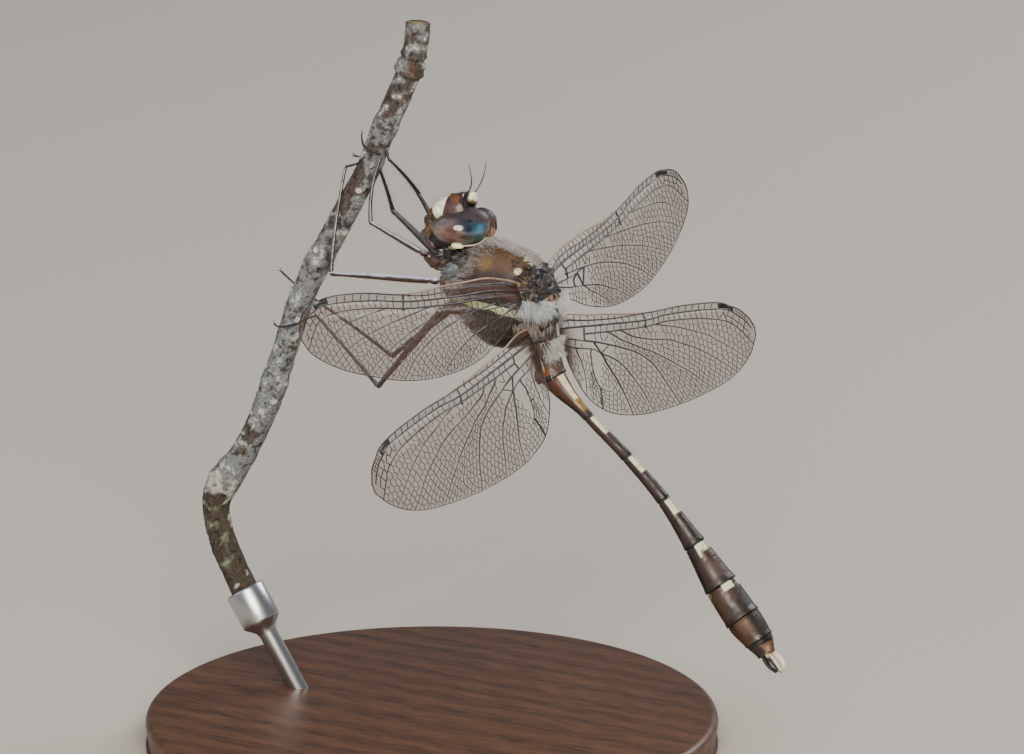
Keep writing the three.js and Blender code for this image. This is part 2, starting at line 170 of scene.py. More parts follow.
def make(name, shape, place, material, replaced=()):
    """A finished piece from a shape in millimetres."""
    points, faces, *tints = shape
    mesh = bpy.data.meshes.new(name)
    mesh.from_pydata((move(points, place) * MM).tolist(), [], [list(face) for face in faces])
    work = bmesh.new()
    work.from_mesh(mesh)
    if work.calc_volume(signed=True) < 0:
        bmesh.ops.reverse_faces(work, faces=work.faces)
    work.to_mesh(mesh)
    work.free()
    if tints:
        layer = mesh.attributes.new("tint", 'FLOAT_COLOR', 'POINT')
        solid = np.ones((len(tints[0]), 4 - tints[0].shape[1]))
        layer.data.foreach_set("color", np.hstack([tints[0], solid]).ravel())
    return finish(name, mesh, material, replaced)


def finish(name, mesh, material, replaced=()):
    """Gives a mesh its material and object, rides it on the one body and hides the solids
    it stands for."""
    mesh.polygons.foreach_set("use_smooth", [True] * len(mesh.polygons))
    mesh.materials.append(material)
    piece = bpy.data.objects.new(name, mesh)
    bpy.context.scene.collection.objects.link(piece)
    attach(piece, "root")
    if replaced:
        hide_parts(*replaced)
    pieces.append(piece)
    return piece


# %% [markdown]
# Curves run through their given points as a centripetal Catmull-Rom spline, which
# neither overshoots nor loops. Tubes are swept along them with a section that can be
# wider than it is high, and both ends are closed by a cap.

# %% Curves, sweeps and joined shapes
def spline_piece(points, k, t):
    """Points of the k-th stretch of a centripetal spline, at the shares t."""
    points = np.asarray(points, float)
    first = 2 * points[0] - points[1]
    last = 2 * points[-1] - points[-2]
    p0, p1, p2, p3 = np.vstack([first, points, last])[k:k + 4]
    d0, d1, d2 = [max(np.linalg.norm(b - a), 1e-6) ** 0.5 for a, b in ((p0, p1), (p1, p2), (p2, p3))]
    m1 = ((p1 - p0) / d0 - (p2 - p0) / (d0 + d1) + (p2 - p1) / d1) * d1
    m2 = ((p2 - p1) / d1 - (p3 - p1) / (d1 + d2) + (p3 - p2) / d2) * d1
    t = np.asarray(t, float)[:, None]
    return (p1 + m1 * t + (-3 * p1 + 3 * p2 - 2 * m1 - m2) * t ** 2
            + (2 * p1 - 2 * p2 + m1 + m2) * t ** 3)


def run_length(line):
    """Distance along a line of points, at each point."""
    return np.r_[0, np.cumsum(np.linalg.norm(np.diff(line, axis=0), axis=1))]


def read_line(line, at, places):
    """Points of a line at the given values of at, which has one value for each point."""
    return np.stack([np.interp(places, at, line[:, j]) for j in range(line.shape[1])], -1)


def spline(points, count):
    """Evenly spaced points along the spline through the given points."""
    steps = np.linspace(0, 1, 24, endpoint=False)
    dense = np.vstack([spline_piece(points, k, steps) for k in range(len(points) - 1)]
                      + [np.asarray(points[-1:], float)])
    along = run_length(dense)
    return read_line(dense, along, np.linspace(0, along[-1], count))


def unit(vectors):
    return vectors / np.maximum(np.linalg.norm(vectors, axis=-1, keepdims=True), 1e-9)


def smoothstep(low, high, x):
    t = np.clip((x - low) / (high - low), 0, 1)
    return t * t * (3 - 2 * t)


def bell(x, width=1.0):
    """1 at x = 0, falling away on both sides over the width."""
    return np.exp(-(x / width) ** 2)


def circle(count):
    return np.linspace(0, 2 * np.pi, count, endpoint=False)


def grid_faces(rings, around):
    """Faces of a closed tube with rings of points, its ends closed on the last two points."""
    faces = []
    for i in range(rings - 1):
        for j in range(around):
            a, b = i * around + j, i * around + (j + 1) % around
            faces.append((a, b, b + around, a + around))
    start, end, final = rings * around, rings * around + 1, (rings - 1) * around
    for j in range(around):
        faces.append((start, (j + 1) % around, j))
        faces.append((end, final + j, final + (j + 1) % around))
    return faces


def sweep(path, wide, high=None, around=12, upward=(0, 0, 1)):
    """A tube along a path. wide and high are its half sizes at each point; high is
    measured towards upward. Returns points and faces."""
    path = np.asarray(path, float)
    count = len(path)
    wide = np.broadcast_to(np.asarray(wide, float), count)
    high = wide if high is None else np.broadcast_to(np.asarray(high, float), count)
    tangent = unit(np.gradient(path, axis=0))
    side = unit(np.cross(np.broadcast_to(np.asarray(upward, float), path.shape), tangent))
    rise = np.cross(tangent, side)
    turn = circle(around)
    rings = (path[:, None] + wide[:, None, None] * np.cos(turn)[None, :, None] * side[:, None]
             + high[:, None, None] * np.sin(turn)[None, :, None] * rise[:, None])
    points = np.vstack([rings.reshape(-1, 3), path[:1], path[-1:]])
    return points, grid_faces(count, around)


def rounded(count, sharp=0.12, tip=0.25):
    """Shares of full girth along a piece whose ends are rounded off."""
    t = np.linspace(0, 1, count)
    ends = np.minimum(t, 1 - t) / sharp
    return tip + (1 - tip) * np.sqrt(1 - (1 - np.clip(ends, 0, 1)) ** 2)


def joined(shapes):
    """Several shapes as one; all are painted or none is."""
    points, faces, tints, base = [], [], [], 0
    for own_points, own_faces, *own_tints in shapes:
        points.append(own_points)
        faces += [tuple(index + base for index in face) for face in own_faces]
        tints += own_tints
        base += len(own_points)
    return np.vstack(points), faces, *([np.vstack(tints)] if tints else [])


def roughness_of(points, size, seed=0.0, octaves=4):
    """Fractal noise between about -1 and 1 at each point; size is its grain in mm."""
    shift = Vector((seed, -seed, 2 * seed))
    return np.array([noise.fractal(Vector(p) / size + shift, 1.0, 2.0, octaves) for p in points])



# %% [markdown]
# ## The display stand
# A living dragonfly has no stand: this one is plain on purpose. The base is a
# turned walnut disc with a small rounded edge, oiled rather than varnished, so its
# grain shows and its gloss is low. It is made by turning a profile, which gives a
# truer circle than the solid's flat sides. The rod is brushed steel with a cup.

# %% Wood, steel and the turned base
def turned(profile, steps, foot=(0, 0, 0), axis=(0, 0, 1)):
    """A closed solid of revolution from (radius, height) pairs, bottom pole first."""
    lift = Vector((0, 0, 1)).rotation_difference(Vector(axis)).to_matrix()
    turns = [2 * math.pi * k / steps for k in range(steps)]
    points = [Vector((radius * math.cos(turn), radius * math.sin(turn), height))
              for radius, height in profile[1:-1] for turn in turns]
    points += [Vector((0, 0, height)) for _, height in (profile[0], profile[-1])]
    return np.array([lift @ p + Vector(foot) for p in points]), grid_faces(len(profile) - 2, steps)


def rounded_edge(radius, height, fillet, outward=1, count=5):
    """Points of a quarter-round between the top and the side of a disc."""
    turns = [k / (count - 1) * math.pi / 2 for k in range(count)][::outward]
    return [(radius - fillet + fillet * math.sin(a), height + outward * (fillet * math.cos(a) - fillet))
            for a in turns]


walnut, tree, surface = shader("oiled_walnut", Roughness=0.42, Specular_IOR_Level=0.4)
place = add(tree, 'ShaderNodeTexCoord').outputs['Object']
grain_place = add(tree, 'ShaderNodeMapping', {'Vector': place, 'Scale': (40, 420, 420)}).outputs['Vector']
grain = add(tree, 'ShaderNodeTexWave', {'Vector': grain_place, 'Scale': 0.21, 'Distortion': 12.0,
                                        'Detail': 2.0, 'Detail Scale': 0.35}, bands_direction='Y')
pores = add(tree, 'ShaderNodeTexNoise', {'Vector': grain_place, 'Scale': 7.0, 'Detail': 4.0}).outputs['Fac']
mixed = add(tree, 'ShaderNodeMath', {0: grain.outputs['Fac'], 1: 0.17, 2: pores}, operation='MULTIPLY_ADD')
wood_tone = add(tree, 'ShaderNodeValToRGB', {'Fac': mixed.outputs[0]},
                [(0.3, "#2f1e14"), (0.52, "#4a3020"), (0.85, "#62422c")])
relief = add(tree, 'ShaderNodeBump', {'Height': pores, 'Strength': 0.25, 'Distance': 0.05 * MM})
wire(tree, surface, Base_Color=wood_tone.outputs['Color'], Normal=relief.outputs['Normal'])

base_low, base_high = np.array(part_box("stand_base")) / MM
disc_radius, disc_height = (base_high[0] - base_low[0]) / 2, base_high[2]
disc = ([(0, 0)] + rounded_edge(disc_radius, 0.4, 0.4, -1)
        + rounded_edge(disc_radius, disc_height, 0.8)[::-1] + [(0, disc_height)])
make("stand_base_disc", turned(disc, 160), PART, walnut, ["stand_base"])
print("base", round(disc_radius * 2, 1), "mm across,", round(disc_height, 1), "mm high")

# %% [markdown]
# ## The twig
# The perch is a cut length of a thin living twig, grey and crusted with lichen. Its
# centre line bends at knots, so it is swept along a spline through the same points as
# the solid. Its skin is then pushed in and out by noise at three scales: slow lumps,
# bark ridges that run lengthwise, and crusts. The same fields colour it, so a pale
# crust is also a raised one.

# %% The twig's centre line and girth
TWIG_LINE = [(-13.6, 25.6), (-13.75, 24.0), (-14.6, 20.6), (-16.3, 16.9), (-17.8, 13.9), (-19.2, 10.3),
             (-20.95, 7.2), (-24.3, 1.3), (-26.4, -2.3), (-28.3, -6.5), (-29.7, -10.5), (-31.8, -16.3),
             (-34.5, -22.1), (-36.7, -25.3), (-38.3, -27.7), (-38.8, -29.9), (-38.3, -32.2),
             (-36.6, -36.0), (-34.8, -39.0), (-33.6, -40.8)]
# place, rise and half length of each swelling, in mm from the cut top
KNOTS = [(5.2, 0.2, 0.7), (12.0, 0.14, 1.0), (29.5, 0.16, 1.2), (44.5, 0.14, 1.0), (57.4, 0.38, 2.2)]
twig_path = spline([(x + HINGES[0], 0, z + HINGES[2]) for x, z in TWIG_LINE], 900)
twig_places = run_length(twig_path)
twig_length = twig_places[-1]
print("twig", round(twig_length, 1), "mm long")


def beside_twig(along, turn, reach):
    """A point beside the twig: 0 degrees faces the animal and 90 faces its left side."""
    centre, ahead = read_line(twig_path, twig_places, [along, along + 0.3])
    facing = np.cross(unit(ahead - centre), (0, 1, 0))
    facing = facing * np.sign(facing[0])
    turn = math.radians(turn)
    return centre + facing * reach * math.cos(turn) + np.array([0, -reach * math.sin(turn), 0])


# %% [markdown]
# Lichen on such a twig is a thin grey-white crust with paler rims, broken by bare
# brown bark, dark pits and small white beads. Each of these is one painted field on a
# fine mesh, so the marks keep their place from every side.

# %% The twig's skin
twig_rows, twig_around = 620, 72
row = np.linspace(0, twig_length, twig_rows)
centre = read_line(twig_path, twig_places, row)
outward = unit(np.cross(unit(np.gradient(centre, axis=0)), (0, 1, 0)))
turn = circle(twig_around)
spoke = (outward[:, None] * np.cos(turn)[None, :, None]
         + np.array([0, -1.0, 0]) * np.sin(turn)[None, :, None])
swell = sum(rise * bell(row - at, half) for at, rise, half in KNOTS)
plain_girth = 1.22 + 0.2 * row / twig_length + swell
flat = (centre[:, None] + spoke * plain_girth[:, None, None]).reshape(-1, 3)
along_each = np.repeat(row, twig_around)
turn_each = np.tile(np.degrees(turn), twig_rows)
# Noise drawn out along the twig gives ridges, as bark has.
drawn_out = np.stack([np.cos(np.radians(turn_each)) * 1.3, along_each / 5.0,
                      np.sin(np.radians(turn_each)) * 1.3], -1)
ridges = roughness_of(drawn_out, 0.34, 9.0)
lumps = roughness_of(flat, 2.6, 3.0, 3)
crust = roughness_of(flat, 1.1, 21.0, 5)
grit = roughness_of(flat, 0.28, 40.0, 3)
pits = smoothstep(0.32, 0.55, roughness_of(flat, 0.55, 60.0, 2))


def near(place, angle, half_length, half_angle):
    """1 at a spot on the twig, falling to 0 at its half sizes."""
    off = (turn_each - angle + 180) % 360 - 180
    return np.clip(1 - ((along_each - place) / half_length) ** 2 - (off / half_angle) ** 2, 0, 1)


collars = (0.16 * sum(bell(along_each - at, 0.22) for at in (3.4, 4.4, 5.3))
           - 0.12 * bell(along_each - 3.9, 0.18))
scar = near(4.6, 60, 1.0, 40)
BUDS = [(33.8, 150), (35.6, 160), (46.0, 40), (47.5, 75), (28.0, 110), (19.4, 60), (24.7, 20)]
buds = sum(near(at, angle, 0.5, 24) for at, angle in BUDS)
knuckle = bell(along_each - 57.6, 1.6)
height = (0.10 * lumps + 0.055 * ridges + 0.07 * np.clip(crust, 0, 1) + 0.03 * grit - 0.09 * pits
          + collars + 0.18 * scar + 0.22 * buds + 0.12 * knuckle * crust)
skin = flat + spoke.reshape(-1, 3) * height[:, None]

lower = smoothstep(56.5, 59.5, along_each)
bare_side = near(20.5, 130, 6.5, 75) + near(51.0, 120, 2.6, 90) + 0.8 * near(9.0, 100, 2.5, 80)
cover = smoothstep(-0.42, 0.06, crust + 0.35 * lumps - 0.9 * np.clip(bare_side, 0, 1)
                   - 1.1 * lower + 0.5 * knuckle - 0.35 * smoothstep(12.0, 2.0, along_each)
                   + 0.3 * smoothstep(27.0, 32.0, along_each))
white = smoothstep(0.38, 0.66, crust + 0.4 * grit + 0.3 * knuckle) * cover
bark = painted(
    linear("#524b46") + 0 * skin,
    ("#4a4137", 0.85 * lower),
    ("#675e58", smoothstep(0.0, 0.5, ridges) * (1 - 0.6 * lower)),
    ("#868b90", 0.92 * cover),
    ("#a3aaab", smoothstep(-0.2, 0.4, grit) * cover * (0.3 + 0.4 * smoothstep(2.0, 12.0, along_each))),
    ("#d3d6d0", 0.9 * white),
    ("#2a2320", 0.75 * pits * (1 - 0.5 * white)),
    ("#e6e6de", smoothstep(0.35, 0.8, buds) * 0.8),
    ("#7c8468", 0.75 * smoothstep(0.1, 0.4, crust) * near(64.0, 60, 5.0, 90)),
    ("#6a4326", 0.5 * scar),
    ("#cfcfc6", 0.8 * smoothstep(0.25, 0.7, knuckle) * smoothstep(-0.3, 0.2, crust)))

bark_finish, tree, surface = shader("lichened_bark", Roughness=0.82, Specular_IOR_Level=0.25)
tint = add(tree, 'ShaderNodeAttribute', attribute_name="tint").outputs['Color']
place = add(tree, 'ShaderNodeTexCoord').outputs['Object']
fine = add(tree, 'ShaderNodeTexNoise', {'Vector': place, 'Scale': 5200.0, 'Detail': 5.0, 'Roughness': 0.7})
flecks = add(tree, 'ShaderNodeTexVoronoi', {'Vector': place, 'Scale': 3300.0}, feature='F1')
shade = add(tree, 'ShaderNodeValToRGB', {'Fac': fine.outputs['Fac']},
            [(0.3, "#8c8c8c"), (0.5, "#e8e8e8"), (0.72, "#ffffff")]).outputs['Color']
beads = add(tree, 'ShaderNodeValToRGB', {'Fac': flecks.outputs['Distance']},
            [(0.0, "#f2f2ea"), (0.35, "#8f8f8b"), (0.8, "#57534e")]).outputs['Color']
for share, layer, blend in ((0.85, shade, 'MULTIPLY'), (0.35, beads, 'OVERLAY')):
    tint = add(tree, 'ShaderNodeMix', {0: share, 6: tint, 7: layer}, data_type='RGBA',
               blend_type=blend).outputs[2]
relief = add(tree, 'ShaderNodeBump', {'Height': fine.outputs['Fac'], 'Strength': 0.7, 'Distance': 0.06 * MM})
wire(tree, surface, Base_Color=tint, Normal=relief.outputs['Normal'])
skin = np.vstack([skin, centre[:1], centre[-1:]])
bark = np.vstack([bark, linear("#a8916c"), linear("#6a5a48")])
make("perch_twig_bark", (skin, grid_faces(twig_rows, twig_around), bark), PART, bark_finish,
     ["perch_twig"])

# %% [markdown]
# The rod stands in a bore of the base and ends in a cup that grips the twig's cut
# foot. Both are one turned profile, leaning with the twig, and brushed along the rod.

# %% The rod and its cup
steel, tree, surface = shader("brushed_steel", Metallic=1.0, Roughness=0.32)
surface.inputs['Base Color'].default_value = rgba("#b9bbbd")
place = add(tree, 'ShaderNodeTexCoord').outputs['Object']
scratch_place = add(tree, 'ShaderNodeMapping', {'Vector': place, 'Scale': (900, 900, 60)}).outputs['Vector']
scratches = add(tree, 'ShaderNodeTexNoise', {'Vector': scratch_place, 'Scale': 6.0, 'Detail': 3.0})
relief = add(tree, 'ShaderNodeBump', {'Height': scratches.outputs['Fac'], 'Strength': 0.15,
                                      'Distance': 0.02 * MM})
wire(tree, surface, Normal=relief.outputs['Normal'])
foot = twig_path[-1]
down = unit(twig_path[-1] - twig_path[-4])
SUNK, BORE_FLOOR = 0.15, 1.4                  # the cup's grip on the twig, the rod's end in the base
rod_length = (foot[2] - BORE_FLOOR) / -down[2] - SUNK
cup = [(0, -rod_length), (0.9, -rod_length), (1.0, -rod_length + 0.15), (1.0, -2.1), (1.15, -1.6),
       (1.7, -1.05), (2.05, -0.75), (2.15, -0.5), (2.15, 2.95), (2.07, 3.15), (1.95, 3.2), (1.8, 3.12),
       (1.7, 2.95), (1.7, 0.1), (1.55, 0.0), (0, 0)]
make("stand_rod_steel", turned(cup, 64, foot + down * SUNK, -down), PART, steel, ["stand_rod"])
print("rod", round(float(rod_length), 1), "mm long below the cup")

# %% [markdown]
# ## The insect's shell
# An insect wears its skeleton outside. The shell is cuticle: hard, thin and waxy, so
# it shines like lacquer where it is thick and dull where it is downy. One material
# reads the colours painted on each plate. Fine dimples and a bloom that comes and goes
# break up its gloss, because a perfectly smooth shell would look like plastic.

# %% Cuticle
def cuticle(name, roughness, coat, dimple_mm, relief, depth=1.35):
    """Waxy shell that takes its colour from the painted points; depth deepens its darks."""
    material, tree, surface = shader(name, Roughness=roughness, IOR=1.54, Coat_Weight=coat,
                                     Coat_Roughness=0.2, Specular_IOR_Level=0.5)
    tint = add(tree, 'ShaderNodeAttribute', attribute_name="tint").outputs['Color']
    tint = add(tree, 'ShaderNodeGamma', {'Color': tint, 'Gamma': depth}).outputs['Color']
    place = add(tree, 'ShaderNodeTexCoord').outputs['Object']
    mottle, dimples, bloom = [
        add(tree, 'ShaderNodeTexNoise',
            {'Vector': place, 'Scale': 1000 / grain_mm, 'Detail': detail}).outputs['Fac']
        for grain_mm, detail in ((0.5, 4.0), (dimple_mm, 3.0), (1.3, 3.0))]
    shade = add(tree, 'ShaderNodeValToRGB', {'Fac': mottle}, [(0.3, "#c4c0bc"), (0.6, "#ffffff")])
    toned = add(tree, 'ShaderNodeMix', {0: 0.7, 6: tint, 7: shade.outputs['Color']}, data_type='RGBA',
                blend_type='MULTIPLY')
    dents = add(tree, 'ShaderNodeBump', {'Height': dimples, 'Strength': relief,
                                         'Distance': dimple_mm * 0.2 * MM}).outputs['Normal']
    waves = add(tree, 'ShaderNodeBump', {'Height': mottle, 'Strength': 0.5, 'Distance': 0.05 * MM,
                                         'Normal': dents}).outputs['Normal']
    gloss = add(tree, 'ShaderNodeMapRange', {'Value': bloom, 'From Min': 0.4, 'From Max': 0.62,
                                             'To Min': roughness - 0.06, 'To Max': roughness + 0.24})
    wire(tree, surface, Base_Color=toned.outputs[2], Normal=waves, Roughness=gloss.outputs[0])
    return material


shell_finish = cuticle("waxed_cuticle", 0.42, 0.06, 0.12, 0.6)
downy_finish = cuticle("downy_cuticle", 0.5, 0.12, 0.1, 0.6, 1.25)

# %% [markdown]
# ### The abdomen
# Ten rings of shell telescope into each other. Each ring is a roof plate that folds
# round the sides, with a narrow floor plate between its edges. Its front slips under
# the ring before it, and its hind edge flares out and ends in a dark rim with small
# teeth. The rings are lofted from the same spine and girths as the solids, and what
# tells one from another is a short table of marks: where along the ring, how far
# round from the back, and what colour.

# %% Rings of the abdomen
# x, z, half width and half height where two rings meet
RINGS = [(5.0, -3.1, 1.75, 1.65), (6.55, -4.15, 1.55, 1.5), (8.75, -4.95, 1.35, 1.35),
         (14.1, -4.6, 0.56, 0.56), (19.8, -3.85, 0.61, 0.6), (25.6, -3.5, 0.72, 0.7),
         (31.2, -3.8, 1.18, 1.12), (36.1, -4.3, 1.88, 1.64), (40.1, -4.6, 2.05, 1.74),
         (42.9, -4.65, 1.6, 1.45), (44.5, -4.95, 0.95, 0.88)]
spine = np.array([(x, 0, z) for x, z, _, _ in RINGS])
girths = np.array([(wide, high, 0) for _, _, wide, high in RINGS])
BASE = ["#33241e", "#4e3a2e", "#4c2b14", "#452e28", "#402c28", "#402c29", "#3e2a25", "#38241b",
        "#40291c", "#5c4232"]
PALE, FLOOR = "#dfe0c6", ("#1e1514", 0.0, 1.0, 112, 180, 0.08)
# Each mark: colour, start and end along the ring, start and end in degrees from the
# back, softness of its edge as a share of the ring.
RING_MARKS = [
    [("#59443a", 0.3, 1.0, 20, 130, 0.2)],
    [("#66503f", 0.2, 0.8, -30, 62, 0.2), ("#8c5428", 0.58, 0.82, 62, 98, 0.06),
     ("#2b2627", 0.84, 0.97, 50, 100, 0.05), ("#2a1c1a", 0.0, 0.14, -30, 180, 0.05),
     ("#5a3c24", 0.3, 0.9, 118, 180, 0.15)],
    [("#2e2110", 0.2, 1.0, 96, 180, 0.1), ("#55532e", 0.0, 0.3, 104, 180, 0.1),
     ("#5c3410", 0.05, 0.6, 48, 104, 0.1), ("#6a4d24", 0.1, 0.75, -30, 14, 0.1),
     ("#dcdcc0", 0.05, 0.66, 12, 44, 0.03), ("#9a7a34", 0.66, 0.86, 6, 60, 0.06)],
    [(PALE, 0.07, 0.46, 7, 54, 0.02), FLOOR],
    [(PALE, 0.06, 0.40, 7, 54, 0.02), FLOOR],
    [(PALE, 0.06, 0.35, 7, 58, 0.02), FLOOR],
    [("#e2e2ca", 0.04, 0.30, 5, 62, 0.03), ("#54402e", 0.24, 0.42, 5, 50, 0.08),
     ("#5f4a42", 0.45, 0.8, 20, 62, 0.12), ("#241816", 0.0, 0.9, 104, 180, 0.08)],
    [("#5a3c2a", 0.1, 0.45, 30, 90, 0.12), ("#e2e2ca", 0.03, 0.20, 14, 52, 0.03),
     ("#a58e60", 0.05, 0.34, 112, 150, 0.06), ("#54402c", 0.2, 0.8, 84, 120, 0.14)],
    [("#6a5038", 0.08, 0.5, 46, 84, 0.2), ("#2e1e1a", 0.2, 0.8, -30, 34, 0.12),
     ("#5e3f28", 0.2, 0.9, 90, 150, 0.14)],
    [("#8c705e", 0.3, 0.85, 20, 64, 0.25), ("#241815", 0.0, 0.24, -30, 150, 0.14),
     ("#3a2820", 0.4, 0.9, 66, 110, 0.2), ("#b39a80", 0.55, 0.8, 30, 44, 0.1)],
]
RING_ROWS, RING_AROUND = 84, 112
STERNITE = 152                                # degrees from the back to the roof plate's edge
FIRST_THIN, FIRST_BROAD = 3, 7                # numbers of the rings where the waist starts and ends


def ring_mark(mark, along, angles, wobble):
    """Share of a mark at each point; its edge is ragged by the wobble."""
    _, start, end, low, high, soft = mark
    edge = soft * (1 + 0.6 * wobble)
    return (smoothstep(start - edge, start + 0.01, along) * (1 - smoothstep(end - 0.01, end + edge, along))
            * smoothstep(low - 4 - 60 * edge, low + 1, angles)
            * (1 - smoothstep(high - 1, high + 4 + 60 * edge, angles)))


def ring_shell(k):
    """The k-th ring (0 is the first): a neck, a full middle and a flared rim with teeth."""
    margin = 0.03 / np.linalg.norm(spine[k + 1] - spine[k])
    t = np.linspace(0, 1, RING_ROWS)
    local = -margin + t * (1 + 2 * margin) * 0.999
    centre, girth = spline_piece(spine, k, local), spline_piece(girths, k, local)
    tangent = unit(np.gradient(centre, axis=0))
    upward = np.stack([-tangent[:, 2], 0 * t, tangent[:, 0]], -1)
    turn = circle(RING_AROUND)
    angle = np.degrees(np.minimum(turn, 2 * np.pi - turn))
    flare = 0.045 * smoothstep(0.8, 0.97, t) - 0.06 * smoothstep(0.985, 1.0, t)
    groove = -0.035 * bell(t - 0.42, 0.012) if FIRST_THIN <= k < FIRST_BROAD else 0 * t
    profile = 0.9 + 0.1 * smoothstep(0.0, 0.07, t) + flare + groove - 0.02 * bell(t - 0.12, 0.02)
    section = 1 - 0.03 * smoothstep(STERNITE - 6, STERNITE, angle) + 0.02 * np.exp(-(angle / 5) ** 2)
    section = section - 0.035 * bell(angle - STERNITE, 2.5)
    teeth = 0.012 * np.cos(turn * 28) * smoothstep(0.955, 0.98, t)[:, None]
    size = profile[:, None] * section[None] + teeth
    points = (centre[:, None] + upward[:, None] * (girth[:, 1, None] * np.cos(turn) * size)[..., None]
              + np.array([0, 1.0, 0]) * (girth[:, 0, None] * np.sin(turn) * size)[..., None]).reshape(-1, 3)
    along, angles = np.repeat(t, RING_AROUND), np.tile(angle, RING_ROWS)
    wobble = roughness_of(points, 0.9, 5.0 + k, 4)
    rim = (0.925, 0.95) if k < FIRST_BROAD else (0.96, 0.98)
    tints = painted(
        linear(BASE[k]) * (1 + 0.35 * wobble[:, None]),
        *[(mark[0], ring_mark(mark, along, angles, wobble)) for mark in RING_MARKS[k]],
        ("#0f0c0c", smoothstep(*rim, along)),
        ("#14100f", (1 - smoothstep(0.0, 0.035, along)) * (0.8 if k else 0.0)),
        ("#171110", 0.8 * bell(angles, 3.0) * (k >= FIRST_THIN)))
    return (np.vstack([points, centre[:1], centre[-1:]]), grid_faces(RING_ROWS, RING_AROUND),
            np.vstack([np.clip(tints, 0, 1), linear("#14100f"), linear("#14100f")]))


ring_shells = [ring_shell(k) for k in range(10)]
for k, shell in enumerate(ring_shells):
    make(f"abdomen_ring_{k + 1}", shell, ANIMAL, shell_finish,
         [f"abdomen_{k + 1}"])
longest = float(np.linalg.norm(np.diff(spine, axis=0), axis=1).max())
print("abdomen rings:", len(ring_shells), "longest", round(longest, 1), "mm")

# %% [markdown]
# The male's claspers close the abdomen: two pale upper ones, each a little flattened
# blade with a dark outer edge, a painted shade on its underside and a pointed tip, and
# a shorter lower one between them. Under the second ring hangs his second set of
# organs, and at its sides sit two small ears of shell.

# %% Claspers, ears and hamules
def banded(path, wide, high, around, codes, upward=(0, 0, 1)):
    """A sweep whose colour blends along it through a list of hex values."""
    points, faces = sweep(path, wide, high, around, upward)
    stops = np.array([linear(code) for code in codes])
    colours = read_line(stops, range(len(codes)), np.linspace(0, len(codes) - 1, len(path)))
    return points, faces, np.vstack([np.repeat(colours, around, axis=0), colours[:1], colours[-1:]])


for word, side in (("left", -1), ("right", 1)):
    path = spline([(44.15, side * 0.5, -4.62), (44.9, side * 0.62, -4.5), (45.7, side * 0.74, -4.42),
                   (46.35, side * 0.6, -4.5), (46.92, side * 0.3, -4.66)], 40)
    share = np.linspace(0, 1, 40)
    wide = 0.34 * rounded(40, 0.3, 0.5) * (1 - 0.55 * share ** 2) + 0.03
    points, faces, cream = banded(path, wide, wide * 0.72, 28,
                                  ["#8d6b50", "#d9cfae", "#ece8d2", "#e8e4cc", "#cfc4a0"])
    centre = np.vstack([np.repeat(path, 28, axis=0), path[:1], path[-1:]])
    # The dark coat is the real dark outer edge of each clasper and, on its underside, a painted shade.
    outer = np.maximum((points - centre)[:, 1] * side / 0.3, (centre - points)[:, 2] / 0.22)
    along = np.r_[np.repeat(share, 28), 0, 1]
    dark_edge_and_underside_shade = (smoothstep(0.5, 0.8, outer + 0.3 * smoothstep(0.8, 1, along))
                 * smoothstep(0.15, 0.4, along))
    make(f"cercus_blade_{word}", (points, faces, painted(cream, ("#17110f", dark_edge_and_underside_shade))), ANIMAL,
         shell_finish, [f"cercus_{word}"])

path = spline([(44.15, 0, -5.2), (44.9, 0, -5.5), (45.7, 0, -5.55), (46.5, 0, -5.3)], 30)
share = np.linspace(0, 1, 30)
make("epiproct_blade", banded(path, 0.46 - 0.16 * share, 0.26 - 0.1 * share, 20,
                              ["#3a261c", "#241712", "#120d0b"]),
     ANIMAL, shell_finish, ["epiproct"])

EAR = [(6.9, 1.32, -4.35), (7.5, 1.55, -4.6), (8.0, 1.42, -4.95)]
HAMULE = [(7.0, 0.32, -5.8), (7.6, 0.36, -6.45), (8.3, 0.2, -6.62)]
blunt = rounded(18, 0.4)
shapes = [banded(spline(np.array(line) * (1, side, 1), 18), wide * blunt, 0.3 * blunt, 14, codes)
          for side in (-1, 1)
          for line, wide, codes in ((EAR, 0.2, ["#7a5a30", "#c9b27a", "#6a4424"]),
                                    (HAMULE, 0.22, ["#2c1c16", "#4a2e1c", "#20140f"]))]
make("abdomen_ears_and_hamules", joined(shapes), ANIMAL, shell_finish)

# %% [markdown]
# ### The thorax
# The thorax is a box of plates packed with flight muscle. Seen from the side its
# plates lean back, and the seams between them, the sutures, run from the leg bases up
# to the wing roots. It is made as one closed skin so that no gap shows, swollen from
# its side outline like the solid. The sutures are lines drawn in side view: their
# distance to each point of the skin gives the groove or the ridge there, and it tells
# which plate the point belongs to, and so its colour.

# %% A body swollen from its side outline
def swollen(outline, half_width, blunt, rows, around):
    """A closed skin with poles on the two flanks; outline is anticlockwise (x, z)."""
    closed = [(x, 0, z) for x, z in outline[-2:] + outline + outline[:3]]
    line = np.vstack([spline_piece(closed, k, np.linspace(0, 1, 40, endpoint=False))
                      for k in range(2, len(outline) + 2)])
    line = np.vstack([line, line[:1]])
    middle = np.array([[x, 0, z] for x, z in outline]).mean(axis=0)
    along = run_length(line)
    rim = read_line(line, along, np.linspace(0, along[-1], around, endpoint=False))
    lift = np.linspace(-np.pi / 2, np.pi / 2, rows + 2)[1:-1]
    rings = middle + (rim - middle)[None] * np.cos(lift)[:, None, None]
    rings = rings + np.array([0, 1.0, 0]) * (half_width * squared(np.sin(lift), blunt))[:, None, None]
    poles = middle + np.array([[0, -half_width, 0], [0, half_width, 0]])
    return np.vstack([rings.reshape(-1, 3), poles]), grid_faces(rows, around)


def squared(values, power):
    """A power that keeps the sign; below 1 it makes a round outline squarer."""
    return np.sign(values) * np.abs(values) ** power


